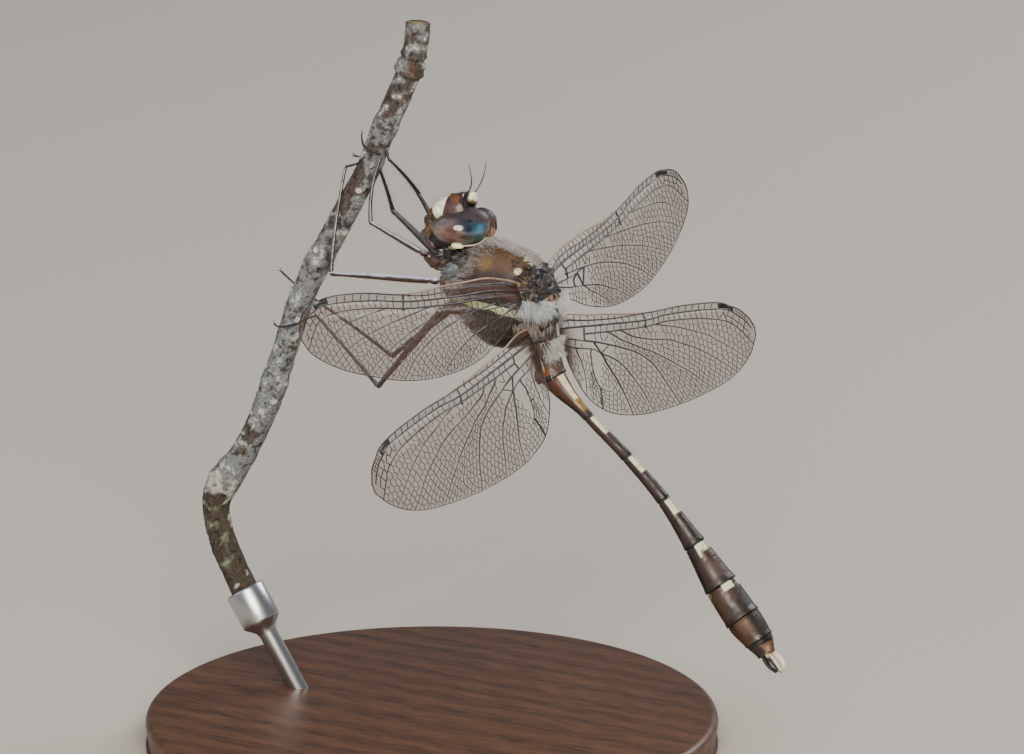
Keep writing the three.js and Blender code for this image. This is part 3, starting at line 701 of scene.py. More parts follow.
def skin_normals(points, faces):
    """Outward unit normals of a closed skin, one for each point."""
    index = np.array([face if len(face) == 4 else (*face, face[2]) for face in faces])
    corner = points[index]
    cross = np.cross(corner[:, 2] - corner[:, 0], corner[:, 3] - corner[:, 1])
    flat = index[:, 2] == index[:, 3]
    cross[flat] = np.cross(corner[:, 1] - corner[:, 0], corner[:, 2] - corner[:, 0])[flat]
    normals = np.zeros_like(points)
    for j in range(4):
        np.add.at(normals, index[:, j], cross)
    normals = unit(normals)
    return normals * np.sign(((points - points.mean(axis=0)) * normals).sum())


def beside_line(points, line):
    """Signed distance of (x, z) points from a polyline, positive towards the back and head."""
    best, signed = np.full(len(points), 1e9), np.zeros(len(points))
    line = np.asarray(line, float)
    for a, b in zip(line[:-1], line[1:]):
        ray = b - a
        share = np.clip(((points - a) @ ray) / (ray @ ray), 0, 1)
        off = points - a - share[:, None] * ray
        distance = np.linalg.norm(off, axis=1)
        side = np.sign(ray[0] * off[:, 1] - ray[1] * off[:, 0])
        signed = np.where(distance < best, distance * side, signed)
        best = np.minimum(best, distance)
    return signed


# %% Sutures and relief of the thorax
THORAX = [(-6.6, -1.9), (-6.1, -3.4), (-6.4, -5.2), (-6.2, -7.3), (-4.2, -8.8), (-1.2, -9.0),
          (1.9, -8.1), (3.8, -6.1), (4.75, -3.1), (4.5, -0.7), (2.9, 0.9), (0.6, 1.7),
          (-1.3, 1.8), (-4.2, 0.35)]
SUTURES = {                                   # from the leg bases up to the wing roots, as (x, z)
    "shoulder": [(-6.0, -7.9), (-5.0, -6.3), (-4.55, -5.19), (-4.05, -3.75), (-3.45, -2.51),
                 (-2.8, -1.57), (-2.04, -0.79), (-1.01, 0.0), (0.2, 0.9)],
    "seam": [(-4.9, -9.2), (-4.3, -7.6), (-3.68, -6.05), (-2.24, -4.3), (-0.68, -2.53), (0.61, -1.26),
             (2.0, -0.1)],
    "top": [(-4.6, -9.4), (-3.64, -6.8), (-2.66, -5.5), (-1.9, -4.4), (-0.6, -3.2), (0.4, -2.4),
            (1.5, -1.6), (2.6, -0.9)],
    "foot": [(-4.2, -9.3), (-3.43, -7.2), (-1.3, -4.9), (0.0, -3.85), (1.0, -3.0), (2.1, -2.2),
             (3.4, -1.4)],
    "hind": [(-2.2, -9.2), (-0.2, -7.0), (1.6, -5.4), (3.2, -4.2), (4.8, -3.4)]}

points, thorax_faces = swollen(THORAX, 3.95, 0.8, 170, 330)
narrow = 0.30 * smoothstep(-4.5, -9.0, points[:, 2]) * smoothstep(2.0, -2.0, points[:, 0])
points[:, 1] *= 1 - narrow
thorax_normals = skin_normals(points, thorax_faces)
x, y, z = points.T
w = np.abs(y)
flank = smoothstep(0.25, 1.3, w)
d = {name: beside_line(points[:, [0, 2]], line) for name, line in SUTURES.items()}
keel = bell(y, 0.16) * smoothstep(-7.0, -5.5, x) * (x < -2.2) * (z > -2.6)
waves = roughness_of(points, 1.6, 8.0, 3)
relief = (-0.07 * bell(d["shoulder"] + 0.16, 0.14) * flank
          - 0.14 * bell(d["seam"], 0.13) * flank - 0.06 * bell(d["top"], 0.08) * flank
          - 0.07 * bell(d["foot"], 0.08) * flank - 0.14 * bell(d["hind"], 0.14) * flank
          + 0.14 * keel + 0.05 * waves)
between_wings = (smoothstep(-1.9, -1.3, x) * (1 - smoothstep(3.6, 4.2, x))
                 * (1 - smoothstep(1.6, 2.3, w)) * (z > -0.9))
relief = relief - 0.32 * between_wings

# Hinge plates: cells around strewn seeds, the same on both flanks.
hinge_zone = (smoothstep(-1.25, -0.85, x) * smoothstep(3.6, 3.0, x)
              * smoothstep(-0.55, -0.2, z + 0.1 * waves - 0.1 * x))
random = np.random.default_rng(29)
plate_seeds = random.uniform((-1.3, 0.0, -0.8), (3.7, 3.4, 1.8), (420, 3))
mirrored = points * (1, 0, 1) + np.abs(points) * (0, 1, 0)
plate_seeds = [seed for seed in plate_seeds if np.linalg.norm(mirrored - seed, axis=1).min() < 0.12]
warped = mirrored + 0.12 * np.stack([roughness_of(points, 0.6, s, 2) for s in (61.0, 62.0, 63.0)], -1)
reaches = np.stack([np.linalg.norm(warped - seed, axis=1) for seed in plate_seeds])
plate_of = np.argmin(reaches, axis=0)
nearest, second = np.sort(reaches, axis=0)[:2]
plate_edge = smoothstep(0.0, 0.24, second - nearest)
relief = relief + hinge_zone * (0.30 * plate_edge - 0.10)
thorax_skin = points + thorax_normals * relief[:, None]
print("hinge plates on each flank:", len(plate_seeds))

# %% [markdown]
# The thorax is painted in coats, from its brown ground to the dark seams, the pale
# stripe on each flank and the speckled hinge plates. Each coat is a colour with its
# share at every point, and most shares come from the distances to the sutures.

# %% Colours of the thorax
grain = roughness_of(points, 0.7, 12.0, 4)
cloud = roughness_of(points, 1.5, 31.0, 3)
ragged = 0.10 * roughness_of(points, 0.45, 51.0, 3)
mottle = smoothstep(-0.1, 0.25, roughness_of(points, 0.3, 77.0, 2))


def patch(centre, radius, code, share=1.0):
    """A coat for a soft round spot on both flanks."""
    off = np.stack([x - centre[0], w - centre[1], z - centre[2]], -1)
    return code, share * smoothstep(1.0, 0.45, np.linalg.norm(off / radius, axis=1) + 0.18 * grain)


stripe = smoothstep(0.05, -0.03, d["top"] + ragged) * smoothstep(-0.05, 0.03, d["foot"] + ragged)
stripe = stripe * flank * smoothstep(2.2, 1.7, x)
tints = painted(
    linear("#5c4634") + 0 * points,
    ("#6b553c", smoothstep(0.3, 1.4, d["shoulder"] + 0.5 * cloud)),
    patch((-4.4, 2.7, -1.5), (1.3, 1.2, 1.1), "#86703f", 0.75),
    patch((-3.2, 2.6, -0.4), (1.0, 1.0, 0.9), "#70503e", 0.7),
    ("#43332e", bell(d["shoulder"] - 0.25, 0.42) * 0.85 * flank),
    ("#44271c", smoothstep(0.0, -0.12, d["shoulder"])),
    ("#653c26", bell(d["seam"] - 0.95, 0.4) * (d["shoulder"] < 0) * (0.7 + 0.3 * grain)),
    ("#1b1412", smoothstep(0.30, 0.08, d["seam"])),
    patch((-5.9, 2.3, -3.3), (0.35, 0.6, 0.8), "#372a30", 0.9),
    patch((-5.6, 2.5, -4.1), (0.45, 0.7, 0.55), "#bfa47a", 0.9),
    ("#c0c896", stripe * smoothstep(-5.4, -3.4, x)),
    ("#e2e8cc", stripe * smoothstep(-1.6, 0.2, x + 0.6 * grain) * 0.8),
    ("#15100f", bell(d["foot"] + 0.16, 0.14) * flank * 0.9),
    ("#271a15", smoothstep(-0.12, -0.3, d["foot"])),
    ("#38251f", smoothstep(0.0, 0.6, cloud) * smoothstep(-0.4, -0.9, d["foot"]) * 0.9),
    ("#1c1412", bell(d["hind"], 0.16)),
    ("#54443a", smoothstep(-0.3, -2.0, z + 7.0) * 0.6),
    patch((-2.45, 2.0, 0.92), (0.75, 0.85, 0.7), "#191310", 0.9 * mottle),
    ("#2b1d18", between_wings * 0.9))
PLATE_BROWNS = ("#17110e", "#2b1c17", "#3e2923", "#59392e", "#6e4c3a", "#38241d", "#1d1512", "#2a1c17",
                "#8a7260")
palette = np.array([linear(code) for code in PLATE_BROWNS])
plate_tints = palette[random.integers(0, len(palette), len(plate_seeds))][plate_of]
plate_tints = plate_tints * (0.25 + 0.75 * smoothstep(0.1, 0.6, plate_edge))[:, None]
tints = painted(
    tints + (plate_tints - tints) * hinge_zone[:, None],
    patch((-0.7, 2.7, 0.6), (0.5, 0.6, 0.45), "#14100e", 0.9),
    patch((1.6, 2.4, 0.2), (0.6, 0.7, 0.4), "#14100e", 0.85),
    patch((3.65, 2.45, -1.96), (0.45, 0.6, 0.55), "#84552c", 0.95))
tints = np.clip(tints * (1 + 0.16 * grain[:, None]), 0, 1)
make("thorax_shell", (thorax_skin, thorax_faces, tints), ANIMAL, downy_finish,
     ["thorax"])
print("thorax skin:", len(points), "points")

# %% [markdown]
# The first leg pair hangs from a small collar between head and thorax. Between the
# wings the back is a trough with a row of shields and hinge plates: cream shoulders in
# front, reddish brown pads behind, and dark leather between them. Each is a small pad
# of its own, so the light finds its edges.

# %% Collar, and the pads between the wings
COLLAR = [(-6.75, -2.6), (-7.05, -3.9), (-7.5, -5.3), (-8.3, -6.5), (-9.3, -7.4), (-9.1, -8.2),
          (-7.8, -8.1), (-6.95, -6.6), (-6.75, -4.8), (-6.45, -3.2)]
points, faces = swollen(COLLAR, 1.9, 0.9, 60, 120)
folds = 0.1 * np.sin(points[:, 2] * 3.2 + points[:, 0] * 1.4)
rough = 0.04 * roughness_of(points, 0.8, 4.0) + folds * 0.4
points = points + skin_normals(points, faces) * rough[:, None]
make("collar_shell", dyed((points, faces), "#5b463c",
                          ("#857468", smoothstep(-0.2, 0.5, roughness_of(points, 0.9, 2.0))),
                          ("#c9b78c", bell(points[:, 2] + 3.3, 0.3) * 0.7)),
     ANIMAL, downy_finish, ["collar"])


def pad(centre, radii, turn=(0, 0, 0), rows=26, around=44, square=1.0, grain_mm=0.5, relief=0.04,
        seed=1.0):
    """A softly squared pad, turned by Euler degrees; returns points and faces."""
    lift = np.linspace(-np.pi / 2, np.pi / 2, rows + 2)[1:-1]
    turns = circle(around)
    reach = squared(np.cos(lift), square)
    points = np.stack([np.outer(reach, squared(np.cos(turns), square)),
                       np.outer(reach, squared(np.sin(turns), square)),
                       np.outer(squared(np.sin(lift), square), np.ones(around))], -1).reshape(-1, 3)
    points = np.vstack([points, [[0, 0, -1], [0, 0, 1]]]) * np.asarray(radii, float)
    points = points * (1 + relief * roughness_of(points, grain_mm, seed, 3))[:, None]
    turn_x, turn_y, turn_z = [Matrix.Rotation(math.radians(angle), 3, axis)
                              for angle, axis in zip(turn, "XYZ")]
    return points @ np.array(turn_z @ turn_y @ turn_x).T + np.asarray(centre, float), grid_faces(rows, around)


def on_both_sides(table):
    """Numbered rows of a table whose first entry is a centre: each is given for the left
    and the right side, or once where it sits on the middle line."""
    for number, (centre, *rest) in enumerate(table):
        for side in (-1, 1) if centre[1] else (1,):
            yield number, side, np.array(centre) * (1, side, 1), *rest


# centre, half sizes, turn in degrees, colour, squareness
BACK_PADS = [
    ((-1.75, 0.72, 1.4), (0.8, 0.68, 0.2), (-8, 14, 10), "#d9d2ac", 0.72),
    ((-1.2, 1.28, 1.46), (0.34, 0.3, 0.2), (-14, 6, 0), "#17110f", 0.9),
    ((-2.1, 0.7, 1.32), (0.2, 0.2, 0.26), (0, 0, 0), "#2a1c15", 0.9),
    ((-1.45, 2.42, 0.72), (0.5, 0.46, 0.2), (-46, 8, 14), "#e6e2bd", 0.8),
    ((-0.45, 0.9, 1.42), (0.5, 0.6, 0.16), (-14, 4, 0), "#241712", 0.78),
    ((0.55, 0, 1.34), (0.7, 0.5, 0.2), (0, 2, 0), "#33201a", 0.8),
    ((0.65, 1.05, 1.22), (0.55, 0.42, 0.16), (-18, 4, 8), "#4c2a1e", 0.72),
    ((1.55, 0.75, 1.05), (0.5, 0.5, 0.18), (-12, 14, 0), "#2e1d18", 0.75),
    ((2.35, 0, 0.85), (0.5, 0.45, 0.2), (0, 26, 0), "#2a1c17", 0.8),
    ((2.4, 1.1, 0.62), (0.5, 0.45, 0.2), (-20, 28, 0), "#33231d", 0.75),
    ((3.4, 0.6, -0.1), (0.5, 0.5, 0.2), (-6, 42, 0), "#3a2b24", 0.8),
    ((4.3, 0.55, -1.45), (0.5, 0.55, 0.28), (0, 64, 0), "#4c3a30", 0.8),
]
shapes = []
for number, side, centre, radii, turn, code, square in on_both_sides(BACK_PADS):
    shape = pad(centre, radii, np.array(turn) * (side, 1, side), 34, 56, square, 0.32, 0.26,
                number + 0.5 * side)
    spots = smoothstep(0.05, 0.45, roughness_of(shape[0], 0.25, number, 3))
    edge = smoothstep(0.7, 1.0, np.linalg.norm((shape[0] - centre) / (*radii[:2], 9), axis=1))
    shapes.append(dyed(shape, code, ("#1c120e", 0.55 * spots), ("#120c0a", 0.85 * edge)))
make("back_shields", joined(shapes), ANIMAL, downy_finish)

# %% [markdown]
# The neck is soft skin hidden under two rolls, the pronotum. They close the gap
# between head and thorax and carry a fur that is longer than anywhere else in front.

# %% Neck and pronotum
NECK_PADS = [
    ((-8.0, 1.3, -4.7), (1.15, 1.2, 0.75), (0, 40, 0), "#2c2226"),
    ((4.5, 0, -2.85), (1.35, 1.55, 1.4), (0, 20, 0), "#4a382e"),
    ((-6.3, 0, -3.4), (1.5, 1.15, 1.1), (0, 20, 0), "#3a2c2a"),
    ((-6.75, 0, -2.75), (0.6, 1.75, 0.8), (0, 20, 0), "#564840"),
    ((-6.2, 0, -2.0), (0.7, 1.6, 0.7), (0, 24, 0), "#5f5148"),
    ((-6.45, 1.85, -4.35), (0.75, 0.85, 1.15), (0, 10, 0), "#3c3a40"),
    ((-6.3, 2.3, -5.3), (0.75, 0.7, 0.95), (0, 4, 0), "#76828a"),
    ((-6.7, 1.5, -6.2), (0.9, 0.8, 0.9), (0, 0, 0), "#4d3c34"),
    ((-5.5, 2.1, -7.0), (0.95, 0.8, 0.8), (0, 0, 0), "#5e4b40"),
]
shapes = []
for number, side, centre, radii, turn, code in on_both_sides(NECK_PADS):
    shape = pad(centre, radii, turn, square=0.9, grain_mm=0.6, relief=0.12, seed=number + 40 + 0.5 * side)
    blots = smoothstep(0.0, 0.5, roughness_of(shape[0], 0.5, number))
    shapes.append(dyed(shape, code, ("#241a18", 0.6 * blots)))
neck = joined(shapes)
make("neck_and_pronotum", neck, ANIMAL, downy_finish)

# %% [markdown]
# ### The head
# Two huge compound eyes meet in a short seam on top and leave only a narrow face in
# front. The face is a stack of bulging plates: from the top the small knob that
# carries the three simple eyes, the furrowed brow, the broad cream nose plate, a thin
# plate below it, the upper lip, and the jaws behind the lip. The plates are hard and
# domed, and they meet in sharp dark creases. All are drawn from the neck joint and
# then tilted with the head.

# %% Rear of the head
SKULL = [(-2.9, 2.2), (-3.3, 1.2), (-3.5, -0.8), (-4.0, -2.3), (-3.5, -3.1), (-2.6, -3.2),
         (-1.6, -2.6), (-0.8, -1.7), (-0.3, -0.3), (-0.5, 1.3), (-1.3, 2.0)]
points, faces = swollen(SKULL, 2.95, 0.8, 110, 200)
points = points + skin_normals(points, faces) * (0.03 * roughness_of(points, 0.9, 4.0, 3))[:, None]
make("head_rear_shell", dyed((points, faces), "#241a17",
                             ("#43302a", smoothstep(-0.2, 0.5, roughness_of(points, 0.5, 14.0, 4))),
                             ("#5b4136", smoothstep(-2.6, -3.6, points[:, 2]) * 0.7)),
     HEAD, shell_finish, ["skull"])

# %% [markdown]
# The eyes are made of thousands of six-sided facets, each a few hundredths of a
# millimetre wide. What shows is a polished dome with soft zones of colour: smoky
# violet above, mauve brown in front, a bright blue patch towards the back with a dark
# spot in it, and green below. The facets are a fine cell pattern in the bump, drawn
# twice as coarse as life so that they can show at all. The two domes are cut flat
# where they press against each other.

# %% Finish of the compound eyes
EYE_CENTRE, EYE_SIZE = np.array([-2.1, 1.82, 0.22]), np.array([2.7, 2.1, 1.72])
FACET = 0.075                                 # mm across one facet


def eye_turn(side):
    """The tilt of an eye's long axis, backwards and outwards."""
    return np.array(Matrix.Rotation(math.radians(-47), 3, 'Y')
                    @ Matrix.Rotation(math.radians(-17 * side), 3, 'Z'))


eye_finish, tree, surface = shader("polished_compound_eye", IOR=1.5, Coat_Roughness=0.05)
zones = add(tree, 'ShaderNodeAttribute', attribute_name="tint").outputs
dull = add(tree, 'ShaderNodeMath', {0: zones['Alpha'], 1: -0.42, 2: 0.58}, operation='MULTIPLY_ADD')
wet = add(tree, 'ShaderNodeMath', {0: zones['Alpha'], 1: 0.8}, operation='MULTIPLY')
place = add(tree, 'ShaderNodeTexCoord').outputs['Object']
facets = add(tree, 'ShaderNodeTexVoronoi', {'Vector': place, 'Scale': 1000 / FACET},
             feature='DISTANCE_TO_EDGE').outputs['Distance']
haze = add(tree, 'ShaderNodeTexNoise', {'Vector': place, 'Scale': 1000 / 0.8, 'Detail': 3.0})
dark = add(tree, 'ShaderNodeValToRGB', {'Fac': haze.outputs['Fac']}, [(0.35, "#b4b0b0"), (0.6, "#ffffff")])
glint = add(tree, 'ShaderNodeValToRGB', {'Fac': facets}, [(0.0, "#9a9a9a"), (0.12, "#ffffff")])
tone = zones['Color']
for share, shade in ((0.8, dark), (0.35, glint)):
    tone = add(tree, 'ShaderNodeMix', {0: share, 6: tone, 7: shade.outputs['Color']},
               data_type='RGBA', blend_type='MULTIPLY').outputs[2]
relief = add(tree, 'ShaderNodeBump', {'Height': facets, 'Strength': 0.12, 'Distance': 0.01 * MM})
wire(tree, surface, Roughness=dull.outputs[0], Coat_Weight=wet.outputs[0], Base_Color=tone,
     Normal=relief.outputs['Normal'])


# %% [markdown]
# A dragonfly's eye is no plain egg. Its upper inner part swells up and inwards, so
# that the two eyes press together in a seam along the top of the head. That part is
# dull as suede, and the lower part is polished. The swelling is a push of the egg's
# points, and the dullness rides in the fourth channel of the painted colour.

# %% Shape and colours of the compound eyes
def spot(local, centre, size):
    """1 at a place on the unit eye, falling to 0 at the given distance."""
    return smoothstep(size, size * 0.35, np.linalg.norm(local - np.asarray(centre), axis=1))


def eye_tints(local):
    """Colour zones of the left eye by its own long axis, side and height, and its polish."""
    cloud = roughness_of(local, 0.55, 6.0, 4)
    x, y, z = local[:, 0] + 0.10 * cloud, local[:, 1], local[:, 2] + 0.12 * cloud
    upper = np.maximum(smoothstep(0.34, 0.60, z + 0.22 * y + 0.2 * x), smoothstep(-0.1, 0.35, y))
    colour = painted(
        linear("#6b4d45") + 0 * local,
        ("#75685a", smoothstep(-0.30, -0.70, x)),
        ("#52403c", smoothstep(0.0, 0.5, cloud) * 0.7),
        ("#6e473c", spot(local, (-0.36, -0.86, -0.3), 0.42) * 0.6),
        ("#5a4c4a", smoothstep(0.1, 0.35, z) * smoothstep(0.2, -0.2, x)),
        ("#2b3344", spot(local, (0.30, -0.76, 0.5), 0.55) * 0.9),
        ("#2a4455", spot(local, (0.62, -0.75, 0.06), 0.6)),
        ("#41708a", spot(local, (0.80, -0.60, 0.0), 0.42)),
        ("#12202c", spot(local, (0.42, -0.88, 0.14), 0.28) * 0.8),
        ("#2f5a58", smoothstep(-0.26, -0.40, z) * smoothstep(0.35, 0.65, x) * 0.9),
        ("#3c332f", smoothstep(-0.20, -0.36, z) * smoothstep(0.0, 0.2, x) * smoothstep(0.6, 0.3, x)),
        ("#6b685a", smoothstep(-0.50, -0.60, z) * smoothstep(-0.1, 0.1, x) * smoothstep(0.8, 0.5, x) * 0.7),
        ("#352a31", upper * 0.9),
        ("#251b22", upper * smoothstep(0.15, 0.5, roughness_of(local, 0.4, 16.0, 2))),
        ("#17141c", spot(local, (0.42, -0.70, 0.52), 0.13) * 0.7),
        ("#2b2026", smoothstep(-0.72, -0.90, z)))
    return np.c_[colour, 1 - 0.9 * upper]


def eye_skin(local, side):
    """Points of the unit ball carried to an eye: shorter and squarer behind, swollen above."""
    local = np.asarray(local, float)
    behind = local[:, 0] > 0
    corner = 1 + 0.16 * np.clip(-2 * local[:, 0] * local[:, 2], 0, 1) * behind
    shaped = local * np.stack([corner * np.where(behind, 0.92, 1.0), 1 + 0 * corner, corner], -1)
    points = (shaped * EYE_SIZE) @ eye_turn(side).T
    inward = -points[:, 1] * side / EYE_SIZE[1]
    up = smoothstep(-0.1, 0.8, points[:, 2] / EYE_SIZE[0])
    rear = smoothstep(-1.9, -0.6, points[:, 0])
    points[:, 1] -= 0.5 * side * np.maximum(0, inward) * up
    points[:, 2] += 1.2 * up * smoothstep(-0.9, 0.5, inward) * rear - 0.4 * up * (1 - rear)
    return points + EYE_CENTRE * (1, side, 1)


for word, side in (("left", -1), ("right", 1)):
    local, faces = pad((0, 0, 0), (1, 1, 1), rows=130, around=190, relief=0.0)
    local = local[:, [0, 2, 1]]
    points = eye_skin(local, side)
    points[:, 1] += np.maximum(0, 0.02 - points[:, 1] * side) * side
    make(f"compound_eye_{word}", (points, faces, eye_tints(local * (1, -side, 1))), HEAD, eye_finish,
         [f"eye_{word}"])
    low, high = np.array(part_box(f"eye_{word}")) / MM
    made = move(points, HEAD)
    print(word, "eye against its solid, mm:", (made.min(0) - low).round(2), (made.max(0) - high).round(2))

# %% [markdown]
# A thin rim of dark shell holds each eye from behind and below. A cream line runs
# along its rear and swells to a cream fleck under the eye. Their paths are given on
# the unit ball, so they stay on the eye's edge whatever its shape.

# %% Eye rims and cream flecks
RIM = [(-0.95, -0.32, 0.0), (-0.86, -0.31, -0.41), (-0.68, -0.30, -0.67), (-0.41, -0.44, -0.80),
       (-0.14, -0.54, -0.83), (0.15, -0.57, -0.81), (0.40, -0.55, -0.73), (0.65, -0.37, -0.67),
       (0.80, -0.18, -0.57), (0.92, -0.06, -0.38), (0.99, 0.0, -0.1), (0.97, 0.1, 0.2)]
CREAM_LINE = [(0.24, -0.58, -0.79), (0.40, -0.54, -0.75), (0.60, -0.38, -0.70), (0.75, -0.22, -0.62),
              (0.86, -0.14, -0.48)]
FLECK = [(-0.15, -0.55, -0.82), (-0.03, -0.57, -0.82), (0.08, -0.58, -0.81), (0.20, -0.58, -0.79),
         (0.31, -0.57, -0.77)]
# path, size against the eye, half width and half height in mm, colour, mm moved down
EYE_TRIMS = [(RIM, 1.0, 0.12, 0.10, "#15100f", 0.0), (CREAM_LINE, 1.04, 0.085, 0.07, "#ead9b4", 0.12),
             (FLECK, 1.03, 0.33, 0.12, "#efecca", 0.14), (FLECK[:4], 1.0, 0.22, 0.12, "#7c7450", 0.62)]
shapes = []
for side in (-1, 1):
    for local_path, size, wide, high, code, drop in EYE_TRIMS:
        on_eye = unit(np.array(local_path, float)) * (1, -side, 1) * size
        path = spline(eye_skin(on_eye, side), 90) - np.array([0.0, 0.0, drop])
        taper = rounded(90, 0.5 if wide > 0.15 else 0.12, 0.2)
        shapes.append(dyed(sweep(path, wide * taper, high * taper, 20, (0, side, 0.3)), code))
make("eye_rims", joined(shapes), HEAD, shell_finish)

# %% [markdown]
# The face between the eyes is one shield, like the real one: it is stiff, and what
# look like separate plates are bulges between sharp creases. Each of its rows runs
# from one eye over the middle line to the other eye. Two tables give the middle line
# and the margin by the eye; between them every row is rounded like the others. The
# same row numbers then place the creases and the colours, so they always agree.

# %% Shape of the face shield
face_finish = cuticle("varnished_face_plate", 0.34, 0.3, 0.09, 0.4, 1.0)
# (x, z) of the middle line and (x, y, z) of the margin, from the mouth up to the knob
FACE_LINE = [
    ((-3.7, -3.0), (-3.4, 1.0, -2.9)), ((-4.78, -2.64), (-3.8, 1.45, -2.5)),
    ((-5.55, -2.2), (-3.95, 1.8, -2.0)), ((-5.62, -1.45), (-4.0, 1.95, -1.35)),
    ((-5.84, -1.12), (-4.05, 2.05, -1.05)), ((-5.86, -0.8), (-4.12, 2.15, -0.78)),
    ((-5.98, 0.2), (-4.15, 2.16, -0.52)), ((-5.62, 1.48), (-4.02, 2.1, -0.2)),
    ((-5.56, 1.79), (-3.66, 2.2, 0.6)), ((-5.19, 2.37), (-3.12, 2.05, 1.5)),
    ((-4.86, 2.84), (-2.85, 1.7, 2.02)), ((-4.66, 2.98), (-2.8, 1.5, 2.1)),
    ((-4.2, 2.9), (-2.8, 1.2, 2.15))]
LIP_TOP, NOSE_FOOT, NOSE_TOP, BROW_TOP = 3, 5, 7, 10
face_rows, face_around = 230, 170
knot = np.linspace(0, len(FACE_LINE) - 1, face_rows)


def face_curve(stops):
    """A line of the face, with one point on every row."""
    return np.vstack([spline_piece(stops, k, knot[(knot >= k) & (knot < k + 1)] - k)
                      for k in range(len(stops) - 1)] + [stops[-1:]])


middle = face_curve([(x, 0, z) for (x, z), _ in FACE_LINE])
margin = face_curve([side for _, side in FACE_LINE])
turn = circle(face_around)
reach = np.where(np.cos(turn) > 0, squared(np.cos(turn), 0.85), -0.3 * np.abs(np.cos(turn)))
width = squared(np.sin(turn), 0.9)
flat_margin = margin * (1, 0, 1)
shield = flat_margin[:, None] + (middle - flat_margin)[:, None] * reach[None, :, None]
shield[..., 1] = margin[:, 1, None] * width[None]
flat_face = shield.reshape(-1, 3)
forward = unit(middle - flat_margin)
face_row = np.repeat(knot, face_around)
face_across = np.tile(width, face_rows)
face_side = np.abs(face_across)
front_share = np.tile(np.maximum(reach, 0), face_rows)


def row_crease(row, half=0.10):
    return bell(face_row - row, half)


push = -0.10 * row_crease(LIP_TOP) - 0.08 * row_crease(NOSE_FOOT) - 0.09 * row_crease(NOSE_TOP, 0.09)
push = push - 0.14 * row_crease(BROW_TOP, 0.16)
brow = smoothstep(NOSE_TOP, NOSE_TOP + 0.6, face_row) * smoothstep(BROW_TOP, BROW_TOP - 0.6, face_row)
push = push - 0.26 * brow * bell(face_across, 0.17) + 0.10 * brow * roughness_of(flat_face, 0.8, 3.0, 3)
lip = smoothstep(0.6, 1.2, face_row) * smoothstep(LIP_TOP, LIP_TOP - 0.5, face_row)
push = push - 0.12 * lip * bell(face_across, 0.07) - 0.10 * lip * bell(face_side - 0.66, 0.07)
push = push + 0.025 * roughness_of(flat_face, 0.5, 5.0, 3)
face_points = flat_face + np.repeat(forward, face_around, axis=0) * (push * np.sqrt(front_share))[:, None]
print("face shield:", face_rows, "rows from the mouth to the knob")

# %% [markdown]
# From the mouth up its colours are: an amber lip with dark creases, a thin brown
# plate, the broad cream nose, a maroon brow with amber spots on its bosses, and a
# black bar below the knob. A thin pinkish line along the brow's edge by the eyes is a
# painted highlight.

# %% Colours of the face shield
cloud = roughness_of(face_points, 0.45, 3.0, 4)
fleck = roughness_of(face_points, 0.5, 7.0, 4)
row = face_row + 0.06 * fleck
nose = smoothstep(NOSE_FOOT - 0.06, NOSE_FOOT + 0.06, row) * smoothstep(NOSE_TOP + 0.05, NOSE_TOP - 0.06, row)
above = smoothstep(NOSE_TOP - 0.02, NOSE_TOP + 0.1, row)


def amber_spot(row, side, size):
    off = np.hypot((face_row - row) / 2.0, face_side - side) + 0.06 * cloud
    return "#6b4714", 0.8 * above * smoothstep(size, size * 0.3, off)


face_tints = painted(
    linear("#4a3013") + 0 * face_points,
    ("#744c1a", smoothstep(-0.1, 0.4, cloud)),
    ("#1c120a", smoothstep(0.0, 0.35, roughness_of(face_points, 0.5, 2.0, 3)) * 0.85),
    ("#2c2118", smoothstep(1.3, 0.8, row)),
    ("#f4f7dc", nose),
    ("#d3dcb0", nose * smoothstep(0.0, 0.5, fleck) * 0.6),
    ("#b79c84", nose * smoothstep(0.35, 0.12, front_share) * 0.8),
    ("#3a1c15", above),
    ("#56301f", above * smoothstep(-0.1, 0.4, cloud) * 0.9),
    ("#4a2018", above * smoothstep(NOSE_TOP + 1.0, NOSE_TOP + 0.2, row) * 0.7),
    amber_spot(8.0, 0.55, 0.22), amber_spot(8.9, 0.75, 0.24),
    amber_spot(8.7, 0.12, 0.14), amber_spot(7.6, 0.25, 0.16),
    ("#0f0b09", smoothstep(BROW_TOP - 0.35, BROW_TOP - 0.05, row + 0.3 * face_side)),
    ("#120c08", 0.9 * row_crease(LIP_TOP, 0.12)),
    ("#120c08", 0.9 * row_crease(NOSE_FOOT, 0.07)),
    ("#120c08", 0.9 * row_crease(NOSE_TOP, 0.07)),
    ("#150d08", lip * bell(face_side - 0.66, 0.06)),
    # a painted highlight: a paler pinkish line along the brow's edge by the eyes
    ("#6a4c44", 0.7 * smoothstep(0.12, 0.02, front_share) * above))
face_points = np.vstack([face_points, *[(middle[k] + flat_margin[k]) / 2 for k in (0, -1)]])
face_tints = np.vstack([face_tints, linear("#1c120c"), linear("#0f0b09")])
print("colours laid on", len(face_points), "points of the face")


# %% [markdown]
# Behind the lip close the jaws, and below them the soft lower lip. They are squared
# pads that overlap each other, half sunk in the head.

# %% Jaws and the finished face
def browned(shape, first, second, edge):
    """A shape painted in two mottled browns with dark blots."""
    return dyed(shape, first, (second, smoothstep(-0.1, 0.4, roughness_of(shape[0], 0.4, 9.0, 4))),
                (edge, smoothstep(0.15, 0.5, roughness_of(shape[0], 0.6, 2.0, 3)) * 0.9))


